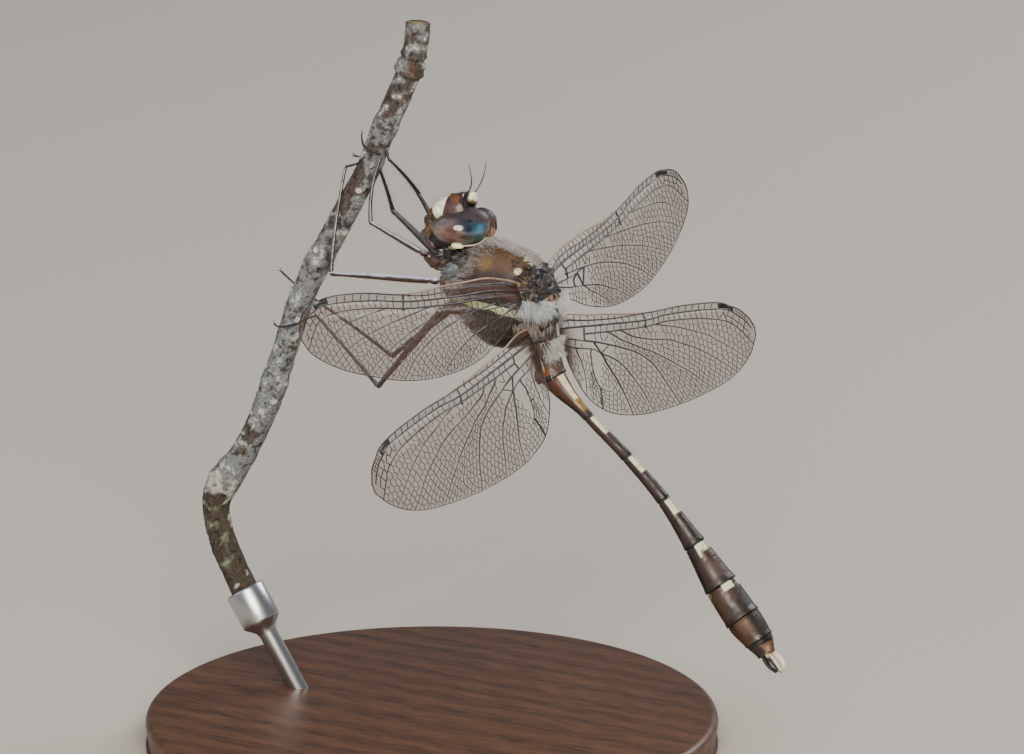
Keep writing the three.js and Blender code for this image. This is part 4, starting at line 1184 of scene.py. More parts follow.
JAWS = [
    ((-3.85, 1.62, -1.5), (0.85, 0.5, 0.8), (0, -30, 22), ("#4a3014", "#6b4819", "#1a100a")),
    ((-3.75, 1.5, -2.25), (0.85, 0.5, 0.5), (0, -24, 16), ("#4a3a24", "#5c4a30", "#1c140e")),
    ((-3.75, 0.75, -2.85), (0.85, 0.95, 0.5), (0, -28, 8), ("#453a2a", "#574a36", "#2a2018")),
    ((-2.9, 0.9, -3.05), (0.95, 1.0, 0.5), (0, -8, 6), ("#3a2e2c", "#4c3e3a", "#221a18")),
]
shapes = [(face_points, grid_faces(face_rows, face_around), face_tints)]
for side in (-1, 1):
    for centre, radii, turn, browns in JAWS:
        jaw = pad(np.array(centre) * (1, side, 1), radii, np.array(turn) * (1, 1, side), 50, 80, 0.85,
                  0.5, 0.05, side + centre[0])
        shapes.append(browned(jaw, *browns))
make("face_plates", joined(shapes), HEAD, face_finish, ["face"])
print("face:", len(shapes), "closed shells")

# %% [markdown]
# The knob between the feelers is cream above and olive at its foot, with a painted
# shadow along its lowest edge. A simple eye, a bead of clear amber, sits in the black
# bar in front of it. Behind the eyes the nape shows an orange brown spot.

# %% The knob, its simple eye and the nape
knob, knob_faces = pad((-3.86, 0, 2.84), (0.8, 0.92, 0.6), (0, 39, 0), 60, 90, 0.88, 0.6, 0.02, 2.0)
rise = -0.629 * (knob[:, 0] + 3.86) + 0.777 * (knob[:, 2] - 2.84)
foot = smoothstep(0.12, -0.3, rise + 0.1 * roughness_of(knob, 0.4, 8.0) - 0.16 * np.abs(knob[:, 1]))
# The last coat darkens the knob's lowest edge nearly to black: a painted shadow.
knob_shape = dyed((knob, knob_faces), "#efecc8",
                  ("#cfc99c", smoothstep(0.0, 0.5, roughness_of(knob, 0.5, 4.0)) * 0.6),
                  ("#4f451d", foot), ("#100c0a", smoothstep(-0.2, -0.5, rise)))
nape_spot = pad((-0.02, 0, 2.2), (0.6, 0.98, 0.5), (0, 30, 0), 40, 60, 0.8, 0.5, 0.03, 5.0)
nape = pad((-0.15, 0, 1.5), (0.45, 1.2, 0.7), (0, 20, 0), 40, 60, 0.9, 0.5, 0.05, 6.0)
bead = pad((-4.62, 0, 2.98), (0.17, 0.17, 0.17), rows=18, around=28, relief=0.0)
make("vertex_and_simple_eyes",
     joined([knob_shape, browned(nape_spot, "#7d4a1c", "#8a5524", "#54300f"),
             browned(nape, "#3a2c28", "#4e3e38", "#2a1c16"), dyed(bead, "#4a3018")]),
     HEAD, face_finish)

# %% [markdown]
# The feelers are short bristles: a stout foot of two joints, and a whip that bends
# outwards and has a small knot at each joint.

# %% Feelers
horn = cuticle("horny_bristle", 0.38, 0.2, 0.05, 0.2)
for word, side in (("left", -1), ("right", 1)):
    base = spline([(-4.05, side * 0.95, 2.35), (-4.25, side * 1.02, 2.85), (-4.4, side * 1.15, 3.3)], 20)
    whip = spline([(-4.38, side * 1.13, 3.26), (-4.8, side * 1.5, 4.2), (-5.5, side * 2.2, 5.0),
                   (-6.3, side * 2.8, 5.6)], 60)
    joints = 1 + 0.25 * (np.sin(np.linspace(0, 10 * np.pi, 60)) > 0.92)
    foot = banded(base, 0.17 * rounded(20, 0.3, 0.5), None, 16, ["#1d1511", "#33241a", "#15100d"], (0, 1, 0))
    lash = banded(whip, np.linspace(0.075, 0.03, 60) * joints, None, 10, ["#2a1e18", "#1a1310", "#1a1310"],
                  (0, 1, 0))
    make(f"feeler_{word}", joined([foot, lash]), HEAD, horn, [f"antenna_{word}"])

# %% [markdown]
# ### The wings
# A wing is a film of clear cuticle a few thousandths of a millimetre thick, stretched
# over a net of veins. The strong veins run lengthwise and lie on the crests and in the
# troughs of a fan of pleats near the front edge; thin cross veins close the cells. The
# film is made as a thin closed sheet with the same pleats. The strong veins are named
# lines in the wing's own plane, as distance out from the hinge and back from the
# hinge line; the cells between two of them come from a rule, below.

# %% The wings' own planes
def wing_axes(side, forward, lift, tilt):
    """Directions along the span, along the chord and out of a wing, in the animal's frame."""
    f, l, t = np.radians([forward, lift, tilt])
    span = np.array([-np.sin(f) * np.cos(l), side * np.cos(f) * np.cos(l), np.sin(l)])
    level = unit(np.array([1.0, 0, 0]) - span * span[0])
    rise = np.cross(level, span) * side
    return span, level * np.cos(t) + rise * np.sin(t), rise * np.cos(t) - level * np.sin(t)


# %% Table of the forewing, in mm from its hinge
FORE = {
    "span": 37.5, "nodus": 19.6, "stigma": (31.7, 34.3),
    "lead": [(0, -0.55), (0.8, -0.85), (3, -1.15), (5.5, -1.27), (8.5, -1.05), (12.5, -0.74), (15.5, -0.4),
             (19.6, -0.1), (27, -0.45), (33, 0), (36.4, 1.4), (37.4, 2.9)],
    "trail": [(0.1, 1.5), (1, 2.1), (3, 3.7), (6, 5.5), (10, 7.2), (15, 8.3), (21, 8.7), (27, 8.1),
              (33, 6.8), (36.5, 5.2), (37.4, 4.0)],
    "veins": {
        "Sc": (0.115, [(0.3, -0.1), (3, -0.6), (6, -0.62), (10, -0.3), (16, 0.08), (19.5, -0.06)]),
        "RA": (0.15, [(0.3, 0.4), (3, 0.08), (6, 0.1), (10, 0.35), (16, 0.6), (19.7, 0.62), (25, 0.3),
                      (31, 0.42), (33.5, 0.75), (35.9, 1.9), (36.8, 2.9)]),
        "RP": (0.12, [(4.1, 0.75), (7, 0.85), (10, 1.05), (16, 1.28), (19.8, 1.3), (25, 1.1), (31, 1.35),
                      (34, 2.15), (36.7, 4.9)]),
        "RP2": (0.075, [(22.8, 1.2), (27, 1.95), (31, 3.0), (35.3, 5.8)]),
        "IR2": (0.085, [(15.5, 1.3), (20, 2.2), (25, 3.3), (30, 4.9), (33.3, 6.72)]),
        "RP3": (0.085, [(10.5, 1.1), (15, 2.3), (20, 3.9), (25, 6.0), (28.4, 7.85)]),
        "MA": (0.10, [(4.0, 1.25), (8.3, 2.05), (12, 2.95), (16, 4.4), (20, 6.5), (22.6, 8.6)]),
        "MP": (0.12, [(0.3, 1.2), (4.0, 1.75), (6.3, 2.0)]),
        "MP2": (0.09, [(6.9, 3.6), (10, 4.7), (13.6, 6.6), (16.2, 8.42)]),
        "CuA": (0.08, [(6.9, 3.6), (8.4, 4.9), (10.2, 6.2), (11.8, 7.65)]),
        "A": (0.11, [(0.3, 1.45), (2.5, 2.2), (4.8, 3.0), (6.9, 3.6)]),
    },
    "ties": [[(4.0, 0.08), (4.1, 0.8), (4.0, 1.75)], [(6.3, 2.0), (8.3, 2.05), (6.9, 3.6), (6.3, 2.0)],
             [(19.5, -0.1), (19.72, 0.62), (19.85, 1.32)], [(4.8, 3.0), (5.2, 2.3), (6.3, 2.0)]],
    "strips": [("lead", "Sc", (0.6, 19.5), 1.05), ("Sc", "RA", (0.6, 19.5), 1.05),
               ("lead", "RA", (19.8, 31.7), 1.25), ("lead", "RA", (34.3, 36.6), 0.5),
               ("RA", "RP", (5, 19.8), 1.1), ("RA", "RP", (20.3, 36.6), 1.0),
               ("RP", "RP2", (22.8, 40), 0.85), ("RP2", "IR2", (22.8, 40), 0.85),
               ("RP", "IR2", (15.5, 22.8), 0.9), ("IR2", "RP3", (15.5, 40), 0.85),
               ("RP", "RP3", (10.5, 15.5), 0.9), ("RP3", "MA", (10.5, 40), 0.85),
               ("RP", "MA", (4.8, 10.5), 1.0), ("MA", "MP2", (8.3, 40), 0.8),
               ("MP2", "CuA", (6.9, 40), 0.75), ("CuA", "trail", (6.9, 11.4), 0.75),
               ("A", "trail", (0.8, 6.9), 0.8), ("MP", "A", (1.2, 6.2), 1.2)],
}

# %% Table of the hindwing, in mm from its hinge
HIND = {
    "span": 36, "nodus": 15.8, "stigma": (30.0, 32.5),
    "lead": [(0, -0.6), (1.5, -0.75), (3.5, -0.62), (5.5, -0.42), (8, -0.35), (15.8, 0), (24, -0.35),
             (31.4, 0), (34.8, 1.4), (35.9, 2.6)],
    "trail": [(0.1, 2.6), (1.3, 5.8), (2.6, 7.7), (5, 9.4), (8, 10.2), (12, 10.5), (18, 10.1), (24, 9.2),
              (30.5, 7.6), (34.2, 5.6), (35.9, 3.7)],
    "veins": {
        "Sc": (0.115, [(0.3, 0.0), (2, -0.1), (4, 0.05), (10, 0.22), (15.7, 0.06)]),
        "RA": (0.15, [(0.3, 0.65), (4.5, 0.72), (10, 0.76), (15.9, 0.75), (20, 0.42), (28, 0.35),
                      (31.4, 0.62), (34.2, 1.85), (35.3, 2.8)]),
        "RP": (0.12, [(4.5, 1.5), (10, 1.5), (15.8, 1.42), (20, 1.1), (28, 1.35), (32, 2.2), (35.3, 4.6)]),
        "RP2": (0.075, [(17.8, 1.3), (22, 1.95), (27, 3.1), (33.6, 6.0)]),
        "IR2": (0.09, [(11.1, 1.48), (12.4, 2.1), (16, 2.75), (20.2, 3.2), (26, 4.9), (31.2, 7.35)]),
        "RP3": (0.09, [(8.5, 1.5), (12, 2.9), (16, 4.1), (21, 6.1), (26.2, 8.75)]),
        "MA": (0.11, [(4.3, 2.2), (6.6, 2.5), (8.6, 2.9), (13, 3.95), (15.4, 5.1), (17.4, 7.2),
                      (19.4, 9.95)]),
        "MP": (0.12, [(0.3, 1.6), (2.2, 1.95), (4.25, 2.25)]),
        "MP2": (0.09, [(6.9, 3.7), (9.5, 4.7), (12, 6.8), (14.4, 10.35)]),
        "CuA": (0.11, [(6.9, 3.7), (7.9, 5.4), (8.9, 6.9), (9.8, 8.5), (10.4, 10.4)]),
        "A": (0.12, [(0.3, 2.2), (1.3, 2.6), (3.2, 2.95), (5.4, 3.2), (6.9, 3.7)]),
        "A2": (0.085, [(2.4, 2.85), (3.0, 4.4), (3.15, 6.2), (2.85, 8.0)]),
        "A3": (0.085, [(5.1, 3.15), (4.8, 4.3), (4.9, 5.9), (5.6, 7.3), (7.4, 7.7), (8.9, 6.9)]),
        "A4": (0.075, [(1.2, 2.55), (0.95, 3.5), (0.7, 4.3)]),
    },
    "ties": [[(4.5, 0.9), (4.55, 1.5), (4.28, 2.25)], [(5.9, 2.42), (8.6, 2.9), (6.9, 3.7), (5.9, 2.42)],
             [(15.75, 0.0), (15.85, 0.75), (15.95, 1.44)], [(5.6, 7.3), (5.3, 8.4), (5.2, 9.45)]],
    "strips": [("lead", "Sc", (0.6, 15.6), 1.25), ("Sc", "RA", (0.6, 15.6), 1.25),
               ("lead", "RA", (16.1, 30.0), 1.25), ("lead", "RA", (32.5, 35), 0.5),
               ("RA", "RP", (5.3, 15.8), 1.1), ("RA", "RP", (16.3, 35), 1.0),
               ("RP", "RP2", (17.8, 40), 0.85), ("RP2", "IR2", (17.8, 40), 0.85),
               ("RP", "IR2", (11.1, 17.8), 0.9), ("IR2", "RP3", (11.1, 40), 0.85),
               ("RP", "RP3", (8.5, 11.1), 0.9), ("RP3", "MA", (8.6, 40), 0.8),
               ("RP", "MA", (5.2, 8.6), 1.0), ("MA", "MP2", (8.6, 40), 0.8),
               ("MP2", "CuA", (7.0, 40), 0.75), ("CuA", "A3", (5.3, 8.9), 0.85),
               ("A3", "trail", (3.0, 10.2), 0.75), ("A2", "A3", (2.6, 5.4), 0.85),
               ("A4", "A2", (0.7, 2.9), 0.85), ("MP", "A", (1.2, 6.2), 1.3)],
}

# %% The four wings and their sheets
# outline and veins, side, hinge, degrees swept forward, lifted and tilted, bow in mm
WINGS = {
    "forewing_left": (FORE, -1, (0, -FORE_HINGE, 0), (12.0, 1.7, -19.7), 0.26),
    "forewing_right": (FORE, 1, (0, FORE_HINGE, 0), (10.4, -1.6, -25.6), 0.11),
    "hindwing_left": (HIND, -1, (4.18, -2.82, -2.43), (-6.4, -3.1, -19.4), 0.11),
    "hindwing_right": (HIND, 1, (4.18, 2.82, -2.43), (-10.1, -2.4, -24.9), 0.3),
}


def pleat(u, v):
    """How far the sheet stands out of its plane: pleats that fade towards the hind edge."""
    depth = 0.15 * np.exp(-np.maximum(v, 0) / 2.6) * smoothstep(-0.5, 2.0, u) * (1 - smoothstep(30, 37, u))
    return depth * np.cos(2 * np.pi * (v + 0.35) / 1.15) + 0.03 * np.sin(u * 0.9 + v) * smoothstep(1, 4, v)


def wing_place(spec, uv, out=0.0):
    """Points of a wing's sheet in the animal's frame, from (span, chord) places."""
    _, side, hinge, angles, bow = spec
    span, chord, normal = wing_axes(side, *angles)
    u, v = uv[:, 0], uv[:, 1]
    rise = bow * (u / FORE["span"]) ** 2 + pleat(u, v) + out
    return np.asarray(hinge, float) + u[:, None] * span + v[:, None] * chord + rise[:, None] * normal


# %% [markdown]
# Between two strong veins a cell grows until it meets its neighbours, which is what a
# Voronoi diagram does. So seeds are scattered in staggered rows between each pair of
# veins, as many rows as the gap has room for, and mirrored across both veins. The
# edges that part two real seeds are the cross veins. In a narrow gap this gives the
# plain rungs of the front edge and in a wide one the six-sided cells of the fan.

# %% Cells between two veins
def line_of(shape, name):
    points = shape[name] if name in ("lead", "trail") else shape["veins"][name][1]
    return spline(points, 240)


def cut(line, low, high):
    """The part of a line that lies between two distances from the hinge."""
    inside = line[(line[:, 0] >= low) & (line[:, 0] <= high)]
    return inside if len(inside) > 3 else line


def at_share(line, share):
    along = run_length(line)
    return read_line(line, along, share * along[-1])


def margin_between(edge, first, last):
    """The wing's edge between the ends of two veins, or nothing where a vein stops short."""
    near = [np.linalg.norm(edge - end, axis=1) for end in (first, last)]
    if max(near[0].min(), near[1].min()) > 0.5:
        return None
    start, stop = near[0].argmin(), near[1].argmin()
    step = 1 if stop > start else -1
    return spline(edge[start:stop + step:step], 60) if abs(stop - start) > 3 else None


def cells_between(upper, lower, size, random, margin=None):
    """Cross veins between two lines, as pairs of (span, chord) points; a margin that is
    given closes their far ends."""
    length = 0.5 * sum(run_length(line)[-1] for line in (upper, lower))
    columns = max(2, round(length / size))
    step_out = at_share(upper, 1.0) - at_share(upper, 1 - 1 / columns)
    step_in = at_share(upper, 1 / columns) - at_share(upper, 0.0)
    seeds, real = [], []
    for column in range(-1, columns + 1):
        share = (column + 0.5) / columns
        a, b = [at_share(line, np.clip(share, 0, 1)) for line in (upper, lower)]
        beyond = step_out * max(0, share - 1) * columns
        drift = beyond - step_in * max(0, -share) * columns
        rows = max(1, round(np.linalg.norm(b - a) / (0.8 * size)))
        for row_number in range(-1, rows + 1):
            mirrored = row_number in (-1, rows)
            shift = (0.5 if row_number % 2 and rows > 1 else 0.0) / columns
            jitter = random.uniform(-0.12, 0.12, 2) / (columns, rows) * (not mirrored)
            place = np.clip(share + shift + jitter[0], 0, 1)
            down = (row_number + 0.5) / rows + jitter[1]
            a, b = at_share(upper, place), at_share(lower, place)
            if margin is not None:
                chord = upper[-1] + (lower[-1] - upper[-1]) * np.clip(down, 0, 1)
                drift = (at_share(margin, np.clip(down, 0, 1)) - chord) * min(share, 1) ** 2 + beyond
            seeds.append(a + (b - a) * down + drift)
            real.append(not mirrored and 0 <= column < columns)
    seeds = np.array(seeds) + random.uniform(-1e-4, 1e-4, (len(seeds), 2))
    _, _, triangles, originals, _, _ = delaunay_2d_cdt([Vector(p) for p in seeds], [], [], 0, 1e-7)
    owner = {k: entry[0] for k, entry in enumerate(originals) if entry}
    centres, across = [], {}
    for number, triangle in enumerate(triangles):
        ids = [owner[k] for k in triangle]
        a, b, c = seeds[ids]
        twice = 2 * ((b - a)[0] * (c - a)[1] - (b - a)[1] * (c - a)[0])
        bb, cc = (b - a) @ (b - a), (c - a) @ (c - a)
        centres.append(a + np.array([(c - a)[1] * bb - (b - a)[1] * cc,
                                     (b - a)[0] * cc - (c - a)[0] * bb]) / (twice or 1e-9))
        for j in range(3):
            across.setdefault(frozenset((ids[j], ids[(j + 1) % 3])), []).append(number)
    edges = []
    for pair, owners in across.items():
        if len(owners) == 2 and all(real[k] for k in pair):
            first, second = centres[owners[0]], centres[owners[1]]
            if np.linalg.norm(first - second) < 2.4 * size:
                edges.append((first, second))
    return edges


# %% [markdown]
# Geometry Nodes turn the net into tubes: a mesh of bare edges becomes curves, each
# point's own girth sets the radius, and a small ring is swept along. The tree has
# named inputs, and it ends in real geometry with a material on it.

# %% A node tree that turns edges into veins
def new_tree(name, *inputs):
    """A geometry tree with a geometry input and output and named float or integer inputs."""
    tree = bpy.data.node_groups.new(name, 'GeometryNodeTree')
    tree.interface.new_socket("Geometry", in_out='INPUT', socket_type='NodeSocketGeometry')
    for label, kind, value in inputs:
        socket = tree.interface.new_socket(label, in_out='INPUT', socket_type=kind)
        socket.default_value = value
    tree.interface.new_socket("Geometry", in_out='OUTPUT', socket_type='NodeSocketGeometry')
    return tree, tree.nodes.new('NodeGroupInput').outputs


def close_tree(tree, geometry, material):
    real = add(tree, 'GeometryNodeRealizeInstances', {'Geometry': geometry}).outputs['Geometry']
    made = add(tree, 'GeometryNodeSetMaterial', {'Geometry': real, 'Material': material})
    add(tree, 'NodeGroupOutput', {'Geometry': made.outputs['Geometry']})


def grown(name, source, tree, material, slot, **values):
    """Runs a tree on a source mesh object and keeps the result as a plain mesh piece."""
    modifier = source.modifiers.new("grow", 'NODES')
    modifier.node_group = tree
    for item in tree.interface.items_tree:
        if item.item_type == 'SOCKET' and item.in_out == 'INPUT' and item.name in values:
            modifier[item.identifier] = values[item.name]
    bpy.context.view_layer.update()
    graph = bpy.context.evaluated_depsgraph_get()
    mesh = bpy.data.meshes.new_from_object(source.evaluated_get(graph), depsgraph=graph)
    source.modifiers.remove(modifier)
    bpy.data.objects.remove(source)
    mesh.name = name
    mesh.materials.clear()
    return finish(name, mesh, material)


def edge_source(name, points, edges, **attributes):
    """A mesh of bare points and edges, in metres, with float or colour attributes."""
    mesh = bpy.data.meshes.new(name)
    mesh.from_pydata((np.asarray(points) * MM).tolist(), edges, [])
    for label, values in attributes.items():
        values = np.asarray(values, float)
        if values.ndim == 2:
            layer = mesh.attributes.new(label, 'FLOAT_COLOR', 'POINT')
            layer.data.foreach_set("color", np.c_[values, np.ones(len(values))].ravel())
        else:
            mesh.attributes.new(label, 'FLOAT', 'POINT').data.foreach_set("value", values)
    source = bpy.data.objects.new(name, mesh)
    bpy.context.scene.collection.objects.link(source)
    return source


vein_finish = cuticle("vein_cuticle", 0.36, 0.25, 0.08, 0.15)
vein_tree, given = new_tree("veins", ("Sides", 'NodeSocketInt', 5), ("Girth", 'NodeSocketFloat', 1.0))
curves = add(vein_tree, 'GeometryNodeMeshToCurve', {'Mesh': given['Geometry']}).outputs['Curve']
girth = add(vein_tree, 'GeometryNodeInputNamedAttribute', {'Name': "girth"}, data_type='FLOAT')
scaled = add(vein_tree, 'ShaderNodeMath', {0: girth.outputs['Attribute'], 1: given['Girth']},
             operation='MULTIPLY').outputs[0]
ring = add(vein_tree, 'GeometryNodeCurvePrimitiveCircle', {'Resolution': given['Sides'], 'Radius': 1.0})
tubes = add(vein_tree, 'GeometryNodeCurveToMesh', {'Curve': curves, 'Profile Curve': ring.outputs['Curve'],
                                                   'Scale': scaled, 'Fill Caps': True}).outputs['Mesh']
close_tree(vein_tree, tubes, vein_finish)

# %% [markdown]
# The film is nearly invisible: it shows as a faint smoky tint, a little browner at
# the root, and a gloss where it catches the lamp.

# %% Film of the wing
film, tree, surface = shader("clear_wing_film", Roughness=0.25, IOR=1.45, Specular_IOR_Level=0.35)
smoke = add(tree, 'ShaderNodeAttribute', attribute_name="smoke").outputs['Fac']
place = add(tree, 'ShaderNodeTexCoord').outputs['Object']
ripple = add(tree, 'ShaderNodeTexNoise', {'Vector': place, 'Scale': 1000 / 1.4, 'Detail': 2.0})
tinge = add(tree, 'ShaderNodeValToRGB', {'Fac': smoke}, [(0.0, "#6a5348"), (1.0, "#2a1a14")])
uneven = add(tree, 'ShaderNodeMapRange', {'Value': ripple.outputs['Fac'], 'To Min': 0.0, 'To Max': 0.07})
clear = add(tree, 'ShaderNodeMath', {0: uneven.outputs[0], 1: smoke}, operation='ADD', use_clamp=True)
relief = add(tree, 'ShaderNodeBump', {'Height': ripple.outputs['Fac'], 'Strength': 0.25,
                                      'Distance': 0.05 * MM})
wire(tree, surface, Base_Color=tinge.outputs['Color'], Alpha=clear.outputs[0],
     Normal=relief.outputs['Normal'])
FILM_MM = 0.02


def film_sheet(spec, columns=150, rows=44):
    """The film as a thin closed sheet; returns points, faces and how smoky each point is."""
    shape = spec[0]
    lead, trail = [spline(shape[edge], columns) for edge in ("lead", "trail")]
    share = np.linspace(0, 1, rows)
    uv = (lead[:, None] * (1 - share[None, :, None]) + trail[:, None] * share[None, :, None]).reshape(-1, 2)
    top, foot = wing_place(spec, uv, FILM_MM / 2), wing_place(spec, uv, -FILM_MM / 2)
    count = len(uv)
    faces = []
    for i in range(columns - 1):
        for j in range(rows - 1):
            a = i * rows + j
            faces.append((a, a + rows, a + rows + 1, a + 1))
            faces.append((a + count, a + 1 + count, a + rows + 1 + count, a + rows + count))
    rim = ([i * rows for i in range(columns)] + [(columns - 1) * rows + j for j in range(1, rows)]
           + [i * rows + rows - 1 for i in range(columns - 2, -1, -1)] + [j for j in range(rows - 2, 0, -1)])
    for a, b in zip(rim, rim[1:] + rim[:1]):
        faces.append((b, a, a + count, b + count))
    u, v = uv[:, 0], uv[:, 1]
    root = 0.6 * bell(u, 1.3)
    if shape is HIND:
        root += 0.5 * np.exp(-((u - 0.6) / 2.0) ** 2 - ((v - 2.6) / 1.9) ** 2)
    outer = 0.13 * smoothstep(5, 13, u) + 0.05 * smoothstep(27, 36, u) * smoothstep(9, 4, v)
    smoky = np.clip(0.04 + root + outer, 0, 0.8)
    return np.vstack([top, foot]), faces, np.r_[smoky, smoky]


# %% [markdown]
# Each wing gets its net first: both edges, the named veins and their ties, and the
# cross veins of every strip. Girth and colour ride on the points, so that the front
# edge can turn from pale to dark past its bend. Then its film is laid between them.

# %% Veins and film of each wing
def wing_net(spec, random):
    """Points, edges, girths and colours of a wing's whole net of veins."""
    shape = spec[0]
    uv, edges, girths, colours = [], [], [], []

    def add_line(points, girth, code, count=None):
        start = len(uv)
        line = spline(points, count) if count else np.asarray(points, float)
        for k, place in enumerate(line):
            uv.append(place)
            girths.append(girth[k] if np.ndim(girth) else girth)
            colours.append(code[k] if np.ndim(code) == 2 else linear(code))
        edges.extend((start + k, start + k + 1) for k in range(len(line) - 1))

    along, tip = spline(shape["lead"], 150), (shape["span"] - 0.02, 3.4)
    pale = smoothstep(shape["nodus"] + 1.0, shape["nodus"] - 2.0, along[:, 0])
    costa = painted(linear("#2c1d18") + np.zeros((150, 3)), ("#b39c8a", pale))
    add_line(shape["lead"], 0.075 + 0.035 * smoothstep(30, 2, along[:, 0]), costa, 150)
    add_line([shape["lead"][-1], tip, shape["trail"][-1]], 0.07, "#33241d", 10)
    add_line(shape["trail"], 0.055, "#33241d", 200)
    for name, (girth, points) in shape["veins"].items():
        add_line(points, girth * (1.0 - 0.55 * np.linspace(0, 1, 90)), "#2a1b16", 90)
    for tie in shape["ties"]:
        add_line(tie, 0.1, "#231612")
    rim = np.vstack([line_of(shape, "lead"), [tip], line_of(shape, "trail")[::-1]])
    for upper, lower, (low, high), size in shape["strips"]:
        lines = [cut(line_of(shape, name), low, high) for name in (upper, lower)]
        margin = None if "trail" in (upper, lower) else margin_between(rim, lines[0][-1], lines[1][-1])
        for ends in cells_between(*lines, size, random, margin):
            add_line(ends, 0.05 if size > 0.95 else 0.036, "#3a2820")
    return np.array(uv), edges, np.array(girths), np.array(colours)


random = np.random.default_rng(11)
for name, spec in WINGS.items():
    uv, edges, girths, colours = wing_net(spec, random)
    source = edge_source("net", move(wing_place(spec, uv), ANIMAL), edges, girth=girths * MM, tint=colours)
    net = grown(f"{name}_veins", source, vein_tree, vein_finish, "cuticle_dark", Sides=5)
    points, faces, smoky = film_sheet(spec)
    piece = make(f"{name}_film", (points, faces), ANIMAL, film, [name])
    piece.data.attributes.new("smoke", 'FLOAT', 'POINT').data.foreach_set("value", smoky)
    print(name, "veins:", len(edges), "edges,", len(net.data.polygons), "faces")

# %% [markdown]
# Near the tip of each wing a dark weighted cell, the wing spot, lies between the first
# two strong veins. A small dark knot sits where the front edge bends, at the nodus.

# %% Wing spots and knots
shapes = []
for spec in WINGS.values():
    shape, side, _, angles, _ = spec
    u = np.linspace(*shape["stigma"], 40)
    front, rear = [np.interp(u, *line_of(shape, name).T) for name in ("lead", "RA")]
    path = wing_place(spec, np.stack([u, (front + rear) / 2], -1))
    chord = wing_axes(side, *angles)[1]
    wide, high = 0.075 * rounded(40, 0.08, 0.4), (rear - front) / 2 * rounded(40, 0.12, 0.3)
    shapes.append(dyed(sweep(path, wide, high, 20, chord), "#150e0c"))
    nodus = wing_place(spec, np.array([shape["ties"][2][-1]]))[0]
    shapes.append(dyed(pad(nodus, (0.26, 0.2, 0.12), rows=10, around=16), "#1a110e"))
make("wing_spots", joined(shapes), ANIMAL, vein_finish)

# %% [markdown]
# ### The legs
# A dragonfly hardly walks. Its legs are a basket for catching flies and hooks for
# holding on, so they are long, thin, glossy and set with rows of stiff spines. Each
# has a stout hip piece, a short ring, a long thigh, a long shin, three toe joints and
# two claws. The thigh is flattened and has a blunt knee; where the toes grip, they
# follow the twig's girth. Every leg is drawn through named joints. The joints of the
# foot are places on the twig: distance from its top, degrees around it, and reach.

# %% Joints of the legs
# bloom is the share of each leg's painted highlight, a grey-white reflection of the sky on its upward faces.
LEGS = {
    "fore_left": dict(socket=(-8.1, -1.3, -7.0), hip=(-9.3, -2.25, -6.8), knee=(-15.4, -4.0, -8.7), girth=0.4,
                      shin=(14.4, 46, 2.3), bow=(-0.35, -0.1, -0.3), bloom=0.55,
                      foot=[(14.6, 75, 1.85), (14.5, 112, 1.76), (14.2, 150, 1.76), (14.0, 178, 2.1)]),
    "fore_right": dict(socket=(-8.1, 1.3, -7.0), hip=(-9.3, 2.25, -6.8), knee=(-15.8, 4.5, -7.3), girth=0.4,
                       shin=(15.9, -62, 1.85), bow=(0.1, 0.1, 0.1), bloom=0.15,
                       foot=[(15.1, -80, 1.78), (14.1, -100, 1.74), (13.0, -118, 1.74), (12.3, -125, 2.0)]),
    "mid_left": dict(socket=(-5.4, -1.4, -6.4), hip=(-6.3, -2.4, -7.3), knee=(-14.2, -5.0, -15.7), girth=0.45,
                     shin=(18.0, 142, 2.28), bow=(-0.12, -0.1, -0.12), bloom=0.9,
                     foot=[(17.3, 128, 2.0), (16.6, 112, 1.78), (15.9, 102, 1.76), (15.5, 95, 1.95)]),
    "mid_right": dict(socket=(-5.5, 1.3, -6.8), hip=(-6.6, 2.2, -8.0), knee=(-16.6, 5.0, -11.4), girth=0.45,
                      shin=(16.3, -124, 2.3), bow=(0.0, 0.1, 0.1), bloom=0.2,
                      foot=[(16.6, -140, 1.95), (16.9, -160, 1.78), (16.9, -180, 1.78), (16.7, -195, 2.0)]),
    "hind_left": dict(socket=(-3.0, -1.4, -7.8), hip=(-4.0, -2.4, -9.0), knee=(-2.2, -5.0, -19.5), girth=0.46,
                      shin=(34.1, 31, 3.65), bow=(0.1, -0.1, 0.12), bloom=0.25,
                      foot=[(35.2, 36, 2.6), (36.6, 60, 1.88), (37.6, 108, 1.8), (38.1, 160, 1.9)]),
    "hind_right": dict(socket=(-3.0, 1.4, -7.8), hip=(-4.1, 2.4, -9.1), knee=(-4.8, 1.9, -20.4), girth=0.42,
                       shin=(34.5, -52, 2.0), bow=(0.1, 0.1, 0.12), bloom=0.2,
                       foot=[(34.5, -88, 1.9), (34.3, -126, 2.1), (34.0, -150, 3.1), (33.8, -158, 4.5)]),
}
leg_finish = cuticle("leg_cuticle", 0.24, 0.6, 0.12, 0.25)


def between_points(first, last, count, bow=(0, 0, 0)):
    """Points of a slightly bowed line."""
    t = np.linspace(0, 1, count)[:, None]
    return np.asarray(first) * (1 - t) + np.asarray(last) * t + np.asarray(bow) * 4 * t * (1 - t)


def leg_tints(path, points, dark, under, bloom, share, around, seed):
    """Dark above, amber beneath, with a painted highlight, a grey-white reflection of the sky, on the faces
    that look up.
    """
    rings = points[:-2].reshape(len(path), around, 3)
    up = unit(rings - path[:, None])[..., 2].ravel()
    grain = roughness_of(points[:-2], 0.7, seed, 3)
    tint = painted(linear(dark) + 0 * up[:, None],
                   (under, 0.75 * smoothstep(-0.25, -0.75, up + 0.25 * grain)),
                   (bloom, share * smoothstep(0.05, 0.7, up + 0.15 * grain)))
    return np.vstack([tint, tint[:1], tint[-1:]])
